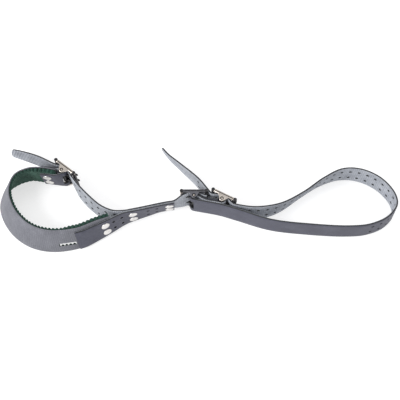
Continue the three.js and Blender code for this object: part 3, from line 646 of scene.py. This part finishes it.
def prism(outline, low, high, place, bevel=0.0, segments=2):
    """A mesh of a flat outline in u and v, given depth along w, in millimetres."""
    mesh = bmesh.new()
    bottom = mesh.faces.new([mesh.verts.new((u, v, low)) for u, v in outline])
    raised = bmesh.ops.extrude_face_region(mesh, geom=[bottom])
    top_verts = [each for each in raised["geom"] if isinstance(each, bmesh.types.BMVert)]
    bmesh.ops.translate(mesh, vec=(0, 0, high - low), verts=top_verts)
    if bevel:
        rims = [edge for edge in mesh.edges if abs(edge.verts[0].co.z - edge.verts[1].co.z) < 1e-6]
        bmesh.ops.bevel(mesh, geom=rims, offset=bevel, segments=segments, profile=0.5,
                        affect="EDGES", clamp_overlap=True)
    return settled(mesh, place)


def turned(profile, sides, place):
    """A mesh turned about w from a profile of (radius, w) that starts and ends on the axis."""
    mesh = bmesh.new()
    rings = []
    for radius, w in profile:
        count = sides if radius > 1e-6 else 1
        rings.append([mesh.verts.new((
            radius * math.cos(2 * math.pi * i / count), radius * math.sin(2 * math.pi * i / count), w))
            for i in range(count)])
    for lower, upper in zip(rings, rings[1:]):
        for i in range(sides):
            corners = [lower[i % len(lower)], lower[(i + 1) % len(lower)],
                       upper[(i + 1) % len(upper)], upper[i % len(upper)]]
            mesh.faces.new(list(dict.fromkeys(corners)))
    return settled(mesh, place)


def turned_ring(profile, sides, place):
    """The same for a closed profile that stays clear of the axis, as a tube's section does."""
    mesh = bmesh.new()
    rings = [[mesh.verts.new((radius * math.cos(2 * math.pi * i / sides),
                              radius * math.sin(2 * math.pi * i / sides), w))
              for i in range(sides)] for radius, w in profile]
    for lower, upper in zip(rings, rings[1:] + rings[:1]):
        band(mesh, lower, upper)
    return settled(mesh, place)


def joined(name, meshes, materials, material_index=0):
    """One object of several meshes that don't touch."""
    data = bpy.data.meshes.new(name)
    whole = bmesh.new()
    for each in meshes:
        part = bpy.data.meshes.new("part")
        each.to_mesh(part)
        each.free()
        whole.from_mesh(part)
        bpy.data.meshes.remove(part)
    for face in whole.faces:
        face.material_index = material_index
    whole.to_mesh(data)
    whole.free()
    return add_object(name, data, materials)


# ---- ribbons -----------------------------------------------------------------
RIGHT, LEFT, EDGE = 0, 1, 2


def ribbon_profile(low, high, thickness, rows, corner=CORNER_RADIUS):
    """The ring of a ribbon's section as (out, up, material of the side that starts there)."""
    half = thickness / 2
    turn = [(corner * (1 - math.cos(a)), corner * (1 - math.sin(a))) for a in (
        math.pi / 6, math.pi / 3, math.pi / 2)]
    face = [low + corner + (high - low - 2 * corner) * i / rows for i in range(rows + 1)]
    right = [(-half, up, RIGHT) for up in face]
    right += [(-half + inward, high - down, RIGHT) for inward, down in turn]
    right[-1] = (*right[-1][:2], EDGE)
    left = [(-out, up, LEFT) for out, up, _ in reversed(right)]
    left += [(half - inward, low + down, LEFT) for inward, down in turn]
    left[-1] = (*left[-1][:2], EDGE)
    return right + left + [(-half + inward, low + down, RIGHT) for inward, down in reversed(turn)]


def ribbon(name, sections, thickness, limits_at, materials, rows=6, relief=None, corner=CORNER_RADIUS):
    """A strip along a path. limits_at gives its lower and upper edge at a distance, and relief,
    where there is one, how far a point of a face stands proud or, below zero, is sunk."""
    verts, faces, sides, places = [], [], [], []
    for section in sections:
        ring = ribbon_profile(*limits_at(section.distance), thickness, rows, corner)
        for out, up, side in ring:
            if relief:
                out += relief(section.distance, up, side, out) * math.copysign(1, out)
            verts.append((section.point + section.out * out + section.up * up + SHIFT) * MM)
            places.append((section.distance * MM, (up + (out if side == EDGE else 0)) * MM))
    count = len(ring)
    tags = [side for _, _, side in ring]
    for here in range(0, (len(sections) - 1) * count, count):
        for k in range(count):
            a, b = here + k, here + (k + 1) % count
            faces.append((a, a + count, b + count, b))
            sides.append(tags[k])
    last = (len(sections) - 1) * count
    for start, turn in ((0, 1), (last, -1)):
        half = count // 2
        for k in range(half - 1):
            across = [(count - 2 - k) % count, (count - 1 - k) % count]
            quad = [start + corner for corner in (k, k + 1, *across)]
            faces.append(tuple(quad[::turn]))
            sides.append(EDGE)
    data = bpy.data.meshes.new(name)
    data.from_pydata(verts, [], faces)
    strap_map = data.uv_layers.new(name=STRAP_MAP)
    for face, side in zip(data.polygons, sides):
        face.material_index = side
        for loop in face.loop_indices:
            strap_map.data[loop].uv = places[data.loops[loop].vertex_index]
    return add_object(name, data, materials)


def square_to(section, across=0.0, beside=0.0):
    """A place on a ribbon with w along its out direction, u along it and v up it."""
    turn = Matrix((section.along, section.up, -section.out)).transposed().to_4x4()
    centre = section.point + section.up * across + section.out * beside
    return Matrix.Translation(centre) @ turn


def drill(section, across, radius, length=2 * STRAP_THICKNESS):
    angles = (math.pi * i / 12 for i in range(24))
    outline = [(radius * math.cos(a), radius * math.sin(a)) for a in angles]
    return prism(outline, -length / 2, length / 2, square_to(section, across))


def stadium(length, radius):
    """An outline with round ends, length long over all."""
    reach = length / 2 - radius
    angles = (math.pi * i / 8 for i in range(9))
    right = [(reach + radius * math.sin(a), -radius * math.cos(a)) for a in angles]
    return right + [(-u, -v) for u, v in right]


def hole_rows(sections, start, end, taken=()):
    holes = []
    distance = start
    while distance <= end:
        if all(abs(place - distance) >= HOLE_CLEARANCE for place in taken):
            for row in (-0.5, 0.5):
                holes.append(drill(section_at(sections, distance), row * ROW_SPACING, HOLE_RADIUS))
        distance += HOLE_PITCH
    return holes


PRONG_SLOT_LENGTH = 6.4
PRONG_SLOT_RADIUS = 1.75
PRONG_SLOT_PLACE = 6.7  # from the crown of the strap over the chape


def prong_slots(sections, buckle):
    crown = distance_near(sections, buckle.at(0, OVER_CHAPE))
    ahead = section_at(sections, crown + PRONG_SLOT_PLACE).point
    bar = Vector((*buckle.at(BAR_SPREAD / 2, 0), MID_Z))
    pin = Vector((*buckle.pin, MID_Z))
    forwards = 1 if (ahead - bar).length < (pin - bar).length else -1
    section = section_at(sections, crown + forwards * PRONG_SLOT_PLACE)
    outline = stadium(PRONG_SLOT_LENGTH, PRONG_SLOT_RADIUS)
    return [prism(outline, -STRAP_THICKNESS, STRAP_THICKNESS, square_to(section, row * ROW_SPACING))
            for row in (-0.5, 0.5)]


def fold_slot(buckle):
    """The slot in the fold of a chape that lets both prongs out."""
    half_slot = ROW_SPACING / 2 + PRONG_RADIUS + 1
    reach = WRAP_RADIUS + HALF_STRAP + 0.15
    arc = [(GAP + (reach - GAP) * math.cos(a), reach * math.sin(a) - PIN_SETBACK)
           for a in (math.pi * (i / 16 - 0.5) for i in range(17))]
    return prism(arc, -half_slot, half_slot, buckle.place)


def width_limits(width):
    return (-width / 2, width / 2)


def strap_limits(distance):
    return width_limits(STRAP_WIDTH)


def tail_limits(distance):
    part = min(distance / TAIL_LENGTH, 1) ** TAIL_CURVE
    blunt = math.sqrt(max(0.0, 1 - (1 - min(distance / TIP_LENGTH, 1)) ** 2))
    width = TAIL_TIP_WIDTH + (STRAP_WIDTH - TAIL_TIP_WIDTH) * part
    return width_limits(max(width * (TIP_BLUNTNESS + (1 - TIP_BLUNTNESS) * blunt), TIP_LEAST_WIDTH))


def ribs_on(face):
    """Transverse ribs on one face of a strap, cut down from its surface."""
    def relief(distance, up, side, out):
        if side != face:
            return 0.0
        return RIB_DEPTH * (math.cos(2 * math.pi * distance / RIB_PITCH) - 1) / 2
    return relief


def pad_width(distance):
    part = min(min(distance, pad_length - distance) / PAD_TAPER, 1)
    return STRAP_WIDTH + 1 + (PAD_WIDTH - STRAP_WIDTH - 1) * math.sin(max(part, 0) * math.pi / 2)


def pad_limits(distance):
    return width_limits(pad_width(distance))


def pinked_limits(distance):
    """The felt's cut edges: teeth above the cover's upper edge, notches along the lower one."""
    notch = (1 - abs(math.sin(math.pi * distance / PINKING_PITCH)) ** 0.8) * PINKING_DEPTH
    half = pad_width(distance) / 2
    return (-half + notch, half + PINKING_RISE - notch)


def clear_of_straps(distance):
    """From 0 where the chape or the front strap holds the pad to 1 between them."""
    past_chape = distance - CHAPE_LENGTH - HELD_BY_CHAPE
    before_front = pad_length - (PAD_LAP_LENGTH + HELD_BY_FRONT) - distance
    part = min(max(min(past_chape, before_front) / SWELL_LENGTH, 0), 1)
    return part ** 2 * (3 - 2 * part)


def pad_crown(distance, up, side, out):
    """The cover swells a little between its straps and its edges."""
    if side != RIGHT:
        return 0.0
    across = max(0.0, 1 - (2 * up / PAD_WIDTH) ** 2)
    ripple = 0.3 * noise.noise(Vector((distance * 0.09, up * 0.07, 3.7)))
    return clear_of_straps(distance) * across * (PAD_SWELL + ripple)


def felt_nap(distance, up, side, out):
    """A rough nap on a ply that is pressed against the cover, and thinner where nothing holds it."""
    nap = 0.16 * noise.noise(Vector((distance * 0.8, up * 0.8, 1.3 + side)))
    if out < 0:
        return min(nap, 0.08)
    return nap - (FELT_PLY - FELT_LOOSE) * clear_of_straps(distance)


SLOT_SLANT = 1.25  # the slot in the pad slopes down through the plies
SLOT_TEETH = 3.0
SLOT_TOOTH_COUNT = 4.5
SLOT_POINTS = 33
pad_slot_section = section_at(pad_path, pad_length - PAD_SLOT_PLACE)


def pad_slot(near, far, teeth):
    """A slanted slot through one ply of the pad, from out = near to out = far. The felt's lower
    edge has teeth."""
    def outline(out):
        drop = -SLOT_SLANT * (out + COVER_THICKNESS / 2)
        half_length, half_height = PAD_SLOT_LENGTH / 2, PAD_SLOT_HEIGHT / 2
        lower = []
        for i in range(SLOT_POINTS):
            u = -half_length + PAD_SLOT_LENGTH * i / (SLOT_POINTS - 1)
            tooth = teeth * (0.5 - 0.5 * math.cos(2 * math.pi * SLOT_TOOTH_COUNT * u / PAD_SLOT_LENGTH))
            lower.append((u, -half_height + tooth + drop))
        return lower + [(-u, half_height + drop) for u, _ in lower]

    mesh = bmesh.new()
    rings = []
    for out in (near, far):
        rings.append([mesh.verts.new((
            pad_slot_section.point + pad_slot_section.along * u
            + pad_slot_section.up * (up + PAD_SLOT_RISE) + pad_slot_section.out * out + SHIFT) * MM)
            for u, up in outline(out)])
    mesh.faces.new(rings[0])
    mesh.faces.new(reversed(rings[1]))
    band(mesh, rings[1], rings[0])
    bmesh.ops.recalc_face_normals(mesh, faces=mesh.faces)
    return mesh


# ---- rivets ------------------------------------------------------------------
SEAT = 0.05  # between a rivet's head and the strap under it
BORE_PLAY = 0.1


def head_profile(face, side):
    """A domed head with a soft rim, from the edge of the shank to the middle of the dome."""
    outline = (
        (1, 0), (1, 0.28), (0.97, 0.5), (0.88, 0.72), (0.7, 0.9), (0.4, 1.1), (0.18, 1.16), (0, 1.17))
    return [(radius * RIVET_HEAD_RADIUS, face + side * (SEAT + height * RIVET_HEAD_HEIGHT))
            for radius, height in outline]


def rivet(section, across, near, far, flush):
    # w of the place points against out, so the near head lies at -near
    profile = [*reversed(head_profile(-near, 1)), (RIVET_SHANK_RADIUS, -near + SEAT)]
    if flush:
        profile += [(RIVET_SHANK_RADIUS, -far), (0, -far)]
    else:
        profile += [(RIVET_SHANK_RADIUS, -far - SEAT), *head_profile(-far, -1)]
    return turned(profile, ROUND_SIDES, square_to(section, across))


RIVETS = {
    "chape_rivet": ("ankle_loop", section_at(pad_path, CHAPE_LENGTH / 2 + 1),
                    OUTSIDE_COVER - HALF_STRAP, INSIDE_FELT + HALF_STRAP, False),
    "pad_rivet": ("ankle_loop", section_at(front_path, PAD_RIVET_PLACE),
                  -HALF_STRAP, HALF_STRAP + GAP + COVER_THICKNESS + GAP + FELT_THICKNESS, False),
    "lap_rivet": ("ankle_loop", section_at(front_path, front_length - LAP_RIVET_PLACE),
                  -HALF_STRAP, HALF_STRAP + LAYER, False),
    "end_rivet": ("ankle_loop", section_at(front_path, front_length - END_RIVET_PLACE),
                  -HALF_STRAP, HALF_STRAP + LAYER, False),
    "foot_rivet": ("foot_loop", section_at(foot_path, foot_length - FOOT_RIVET_PLACE),
                   -HALF_STRAP, HALF_STRAP + LAYER, True),
}


def rivet_bores(body):
    bores = []
    for owner, section, near, far, _ in RIVETS.values():
        if owner == body:
            middle = section._replace(point=section.point + section.out * (near + far) / 2)
            bores += [drill(middle, row * ROW_SPACING, RIVET_SHANK_RADIUS + BORE_PLAY, far - near + 2)
                      for row in (-0.5, 0.5)]
    return bores


def place_piece(piece, body, slot, *nodes):
    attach(piece, body)
    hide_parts(*nodes)
    return piece


def add_rivets():
    for name, (body, section, near, far, flush) in RIVETS.items():
        for label, row in (("upper", 0.5), ("lower", -0.5)):
            mesh = rivet(section, row * ROW_SPACING, near, far, flush)
            piece = joined(f"{name}_{label}_look", [mesh], [RIVET_STEEL])
            smooth(piece, 50)
            place_piece(piece, body, "rivet_steel", f"{name}_{label}")


# ---- straps and pad ----------------------------------------------------------
def add_strip(name, sections, thickness, limits, materials, cutters, body, slot, rows=6, relief=None,
              corner=CORNER_RADIUS):
    """A strip with groups of cutters taken out of it. The cutters of one group don't touch."""
    piece = ribbon(f"{name}_look", sections, thickness, limits, materials, rows, relief, corner)
    for group in cutters:
        cut(piece, joined("cutter", group, materials, EDGE))
    smooth(piece)
    return place_piece(piece, body, slot, name)


def add_straps():
    plain_outside_right = [STRAP_OUTER, STRAP_INNER, STRAP_EDGE]
    plain_outside_left = [STRAP_INNER, STRAP_OUTER, STRAP_EDGE]
    bores = rivet_bores
    cover_path = beside_path(pad_path, (COVER_PLY - COVER_THICKNESS) / 2)
    felt_path = beside_path(pad_path, FELT_OFFSET + (FELT_THICKNESS - FELT_PLY) / 2)
    cover = add_strip("pad_cover", cover_path, COVER_PLY, pad_limits, [COVER, COVER_EDGE, COVER],
                      [bores("ankle_loop"), [pad_slot(-4, COVER_THICKNESS / 2 + 0.15, 0)]],
                      "ankle_loop", "pad_cover", 14, pad_crown)
    felt = add_strip("pad_felt", felt_path, FELT_PLY, pinked_limits, [FELT, FELT, FELT],
                     [bores("ankle_loop"), [pad_slot(0.5, 9, SLOT_TEETH)]],
                     "ankle_loop", "pad_felt", 18, felt_nap, FELT_CORNER)
    add_strip("ankle_chape", chape_path, STRAP_THICKNESS, strap_limits, plain_outside_right,
              [bores("ankle_loop"), [fold_slot(ankle_buckle)]],
              "ankle_loop", "strap", relief=ribs_on(LEFT))
    add_strip("front_strap", front_path, STRAP_THICKNESS, strap_limits, plain_outside_right,
              [bores("ankle_loop"), hole_rows(
                  front_path, PAD_RIVET_PLACE + HOLE_PITCH, front_length - END_RIVET_PLACE - HOLE_CLEARANCE,
                  [front_length - LAP_RIVET_PLACE])],
              "ankle_loop", "strap", relief=ribs_on(LEFT))
    ankle_holes = (
        distance_near(ankle_path, ankle_buckle.at(BAR_SPREAD / 2, 0)) + HOLE_CLEARANCE,
        distance_near(ankle_path, beside_front(LAP_LENGTH)) - HOLE_CLEARANCE)
    add_strip("ankle_strap", ankle_path, STRAP_THICKNESS, tail_limits,
              [TAIL_SHADED_INNER, STRAP_OUTER, STRAP_EDGE],
              [bores("ankle_loop"), prong_slots(ankle_path, ankle_buckle),
               prong_slots(ankle_path, middle_buckle), hole_rows(ankle_path, *ankle_holes)],
              "ankle_loop", "strap", relief=ribs_on(RIGHT))
    bar_place = distance_near(foot_path, foot_buckle.at(BAR_SPREAD / 2, 0))
    taken = [bar_place - part * BAR_SPREAD for part in (0, 0.33, 0.67, 1, 1.33)]
    add_strip("foot_strap", foot_path, STRAP_THICKNESS, tail_limits, plain_outside_left,
              [bores("foot_loop"), prong_slots(foot_path, foot_buckle), [fold_slot(middle_buckle)],
               [fold_slot(foot_buckle)], hole_rows(
                   foot_path, FIRST_HOLE, distance_near(foot_path, foot(0.86, -0.51)), taken)],
              "foot_loop", "strap", relief=ribs_on(RIGHT))


# ---- buckles -----------------------------------------------------------------
PLATE_ROUND_OFF = 0.5
GROOVE_WIDTH = 1.0
GROOVE_LENGTH = BAR_SPREAD - 5
GROOVE_DEPTH = 0.4
PIN_BORE_RADIUS = PIN_RADIUS + 0.12
COUNTERSINK_RADIUS = PIN_RADIUS + 0.75
CAP_RADIUS = 2.05
CAP_HEIGHT = 0.5


def arc(u, v, radius, start, end, steps):
    return [(u + radius * math.cos(start + (end - start) * i / steps),
             v + radius * math.sin(start + (end - start) * i / steps)) for i in range(steps + 1)]


def plate_outline():
    reach = BAR_SPREAD / 2
    return [
        *arc(reach, 0, PLATE_HALF_DEPTH, -math.pi / 2, math.pi / 2, 12),
        *arc(-reach, 0, PLATE_HALF_DEPTH, math.pi / 2, 1.5 * math.pi, 12),
        (-EAR_RADIUS - 3, -PLATE_HALF_DEPTH),
        *arc(0, -PIN_SETBACK, EAR_RADIUS, math.pi * 1.12, math.pi * 1.88, 16),
        (EAR_RADIUS + 3, -PLATE_HALF_DEPTH),
    ]


def pin_bore(buckle, side, face):
    """A bore through the ear of one side plate, countersunk at the plate's outer face."""
    profile = [(0, -4), (PIN_BORE_RADIUS, -4), (PIN_BORE_RADIUS, -0.8), (COUNTERSINK_RADIUS, 0.1), (0, 4)]
    rising = [(radius, face + side * w) for radius, w in profile][::side]
    return turned(rising, FRAME_SIDES, buckle.shifted(0, -PIN_SETBACK))


def add_buckle_frame(name, buckle, plate_tone):
    # The plates take the given metal; for the middle buckle it is nickel darkened as painted shade.
    metals = [plate_tone, DARK_STEEL_AND_SHADE]
    body = None
    for side in (-1, 1):
        middle = side * (PLATE_INNER + PLATE_THICKNESS / 2)
        low, high = middle - PLATE_THICKNESS / 2, middle + PLATE_THICKNESS / 2
        blank = prism(plate_outline(), low, high, buckle.place, PLATE_ROUND_OFF, 3)
        plate = joined("plate", [blank], metals)
        face = side * BUCKLE_HALF_HEIGHT
        groove = prism(stadium(GROOVE_LENGTH, GROOVE_WIDTH / 2), face - GROOVE_DEPTH,
                       face + GROOVE_DEPTH, buckle.place)
        # The groove and the pin bore are lined with the dark steel as painted shade in these recesses.
        cut(plate, joined("cutter", [groove, pin_bore(buckle, side, face)], metals, 1))
        if body:
            cut(body, plate, "UNION")
        else:
            body = plate
    for end in (-1, 1):
        up = buckle.upward
        tip = BUCKLE_HALF_HEIGHT
        shaft = [(0, -up * tip), (BAR_RADIUS, -up * (tip - 0.02)), (BAR_RADIUS, up * (tip - 0.25)),
                 (CAP_RADIUS, up * (tip - 0.25)), (CAP_RADIUS, up * (tip + 0.15)),
                 (CAP_RADIUS * 0.8, up * (tip + CAP_HEIGHT * 0.8)), (0, up * (tip + CAP_HEIGHT))]
        bar = turned(shaft, FRAME_SIDES, buckle.shifted(end * BAR_SPREAD / 2, 0))
        # The bars and their caps take the dark steel as painted dark reflection.
        cut(body, joined("bar", [bar], metals, 1), "UNION")
    body.name = f"{name}_frame_look"
    smooth(body, 40)
    place_piece(body, f"{name}_buckle", "nickel", f"{name}_frame")


def add_buckle_pin(name, buckle):
    tip = BUCKLE_HALF_HEIGHT - 0.1
    upper = [(PIN_RADIUS, tip - 0.45), (PIN_RADIUS * 0.7, tip - 0.05), (0, tip)]
    lower = [(radius, -w) for radius, w in reversed(upper)]
    mesh = turned(lower + upper, FRAME_SIDES, buckle.shifted(0, -PIN_SETBACK))
    piece = joined(f"{name}_pin_look", [mesh], [NICKEL])
    smooth(piece, 40)
    place_piece(piece, f"{name}_buckle", "nickel", f"{name}_pin")


def tube(radius, bore, half, round_off, dish, place):
    """A tube with rounded rims, its ends dished a little towards the bore."""
    upper = [(radius, half - round_off), (radius - round_off, half), (bore, half - dish)]
    lower = [(r, -w) for r, w in reversed(upper)]
    return turned_ring(lower + upper, ROUND_SIDES, place)


def add_roller(name, end, label, buckle, metal):
    # A dark steel roller is painted dark reflection and shade; the middle buckle's nickel front roller is
    # its lit copy.
    mesh = tube(ROLLER_RADIUS, ROLLER_BORE, PLATE_INNER - GAP, 0.35, 0.15,
                buckle.shifted(end * BAR_SPREAD / 2, 0))
    piece = joined(f"{name}_roller_{label}_look", [mesh], [metal])
    smooth(piece, 40)
    place_piece(piece, f"{name}_roller_{label}", "dark_steel", f"{name}_roller_{label}")


def prong_route():
    rest_height = ROLLER_RADIUS + GAP + PRONG_RADIUS
    reach = BAR_SPREAD / 2
    return [Vector(each) for each in (
        (SLEEVE_RADIUS * 0.55, -PIN_SETBACK + 0.3, 0),
        (reach * 0.36, -PIN_SETBACK * 0.62, 0),
        (reach * 0.62, 0, 0),
        (reach * 0.84, rest_height - 0.4, 0),
        (reach, rest_height + 0.1, 0),
        (reach + PRONG_TIP, rest_height - 0.1, 0),
    )]


PRONG_SIDES = 16
PRONG_POINT_LENGTH = 2.2
PRONG_POINT_BLUNTNESS = 0.25


def prong(across, place):
    """A round prong that follows its route and ends in a soft point."""
    stations = [(*each, 0) for each in prong_route()]
    sections = follow_path(stations, 0.6)
    length = sections[-1].distance
    mesh = bmesh.new()
    rings = []
    for section in sections:
        left = length - section.distance
        radius = PRONG_RADIUS * math.sqrt(min(1, (left + PRONG_POINT_BLUNTNESS) / PRONG_POINT_LENGTH))
        side = Vector((0, 0, 1))
        outward = side.cross(section.along)
        rings.append([mesh.verts.new(section.point + Vector((0, 0, across))
                                     + (outward * math.cos(a) + side * math.sin(a)) * radius)
                      for a in (2 * math.pi * i / PRONG_SIDES for i in range(PRONG_SIDES))])
    for lower, upper in zip(rings, rings[1:]):
        band(mesh, lower, upper)
    mesh.faces.new(rings[0])
    mesh.faces.new(rings[-1])
    return settled(mesh, place)


def add_tongue(name, buckle):
    half = ROW_SPACING / 2 + PRONG_RADIUS + 0.5
    at_pin = buckle.shifted(0, -PIN_SETBACK)
    sleeve = tube(SLEEVE_RADIUS, SLEEVE_BORE, half, 0.3, 0, at_pin)
    piece = joined(f"{name}_tongue_look", [sleeve], [DARK_STEEL_AND_SHADE])
    for row in (-0.5, 0.5):
        cut(piece, joined("prong", [prong(row * ROW_SPACING, buckle.place)], [DARK_STEEL_AND_SHADE]), "UNION")
    profile = [(0, -half - 1), (SLEEVE_BORE, -half - 1), (SLEEVE_BORE, half + 1), (0, half + 1)]
    bore = turned(profile, ROUND_SIDES, at_pin)
    cut(piece, joined("cutter", [bore], [DARK_STEEL_AND_SHADE]))
    smooth(piece, 40)
    place_piece(piece, f"{name}_tongue", "dark_steel", f"{name}_tongue")


def add_buckle(name, buckle, plate_tone, front_roller):
    add_buckle_frame(name, buckle, plate_tone)
    add_buckle_pin(name, buckle)
    add_roller(name, 1, "front", buckle, front_roller)
    add_roller(name, -1, "back", buckle, DARK_STEEL_AND_SHADE)
    add_tongue(name, buckle)


add_straps()
add_rivets()
add_buckle("ankle", ankle_buckle, NICKEL, DARK_STEEL_AND_SHADE)
# The middle buckle's plates are nickel darkened as painted shade and dark reflection.
add_buckle("middle", middle_buckle, SHADED_NICKEL, NICKEL)
add_buckle("foot", foot_buckle, NICKEL, DARK_STEEL_AND_SHADE)


# ---- stage, light and camera -------------------------------------------------
def add_floor():
    finish = Finish("floor", 0.9)
    finish.shader.inputs["Base Color"].default_value = (0.5, 0.5, 0.503, 1)
    finish.shader.inputs["Emission Color"].default_value = (1, 1, 1, 1)
    finish.shader.inputs["Emission Strength"].default_value = 0.6
    data = bpy.data.meshes.new("floor")
    reach = 4.0
    corners = [(x * reach, y * reach, 0) for x, y in ((-1, -1), (1, -1), (1, 1), (-1, 1))]
    data.from_pydata(corners, [], [(0, 1, 2, 3)])
    add_object("floor", data, [finish.material])


def add_light(name, place, target, size, power):
    light = bpy.data.lights.new(name, "AREA")
    light.shape = "DISK"
    light.size = size
    light.energy = power
    lamp = bpy.data.objects.new(name, light)
    lamp.location = place
    lamp.rotation_euler = (Vector(target) - Vector(place)).to_track_quat("-Z", "Y").to_euler()
    bpy.context.scene.collection.objects.link(lamp)


def add_world():
    world = bpy.data.worlds.new("studio")
    bpy.context.scene.world = world
    world.use_nodes = True
    background = world.node_tree.nodes["Background"]
    background.inputs["Color"].default_value = (1, 1, 1, 1)
    background.inputs["Strength"].default_value = 0.8
    bpy.context.scene.view_settings.view_transform = "Standard"


CAMERA_TARGET = (SHIFT + Vector((0, 0, 15))) * MM
CAMERA_DISTANCE = 0.7533
CAMERA_ELEVATION = math.radians(65)


def add_camera():
    data = bpy.data.cameras.new("camera")
    data.lens = 60
    data.sensor_width = 36
    data.clip_start = 0.01
    camera = bpy.data.objects.new("camera", data)
    back = Vector((0, -math.cos(CAMERA_ELEVATION), math.sin(CAMERA_ELEVATION)))
    camera.location = CAMERA_TARGET + back * CAMERA_DISTANCE
    camera.rotation_euler = (-back).to_track_quat("-Z", "Y").to_euler()
    bpy.context.scene.collection.objects.link(camera)
    bpy.context.scene.camera = camera


add_floor()
add_world()
add_light("key", (-0.9, -0.45, 0.8), (0, 0, 0), 0.7, 13)
add_light("fill", (0.7, 0.5, 1.1), (0, 0, 0), 0.9, 5)
add_camera()
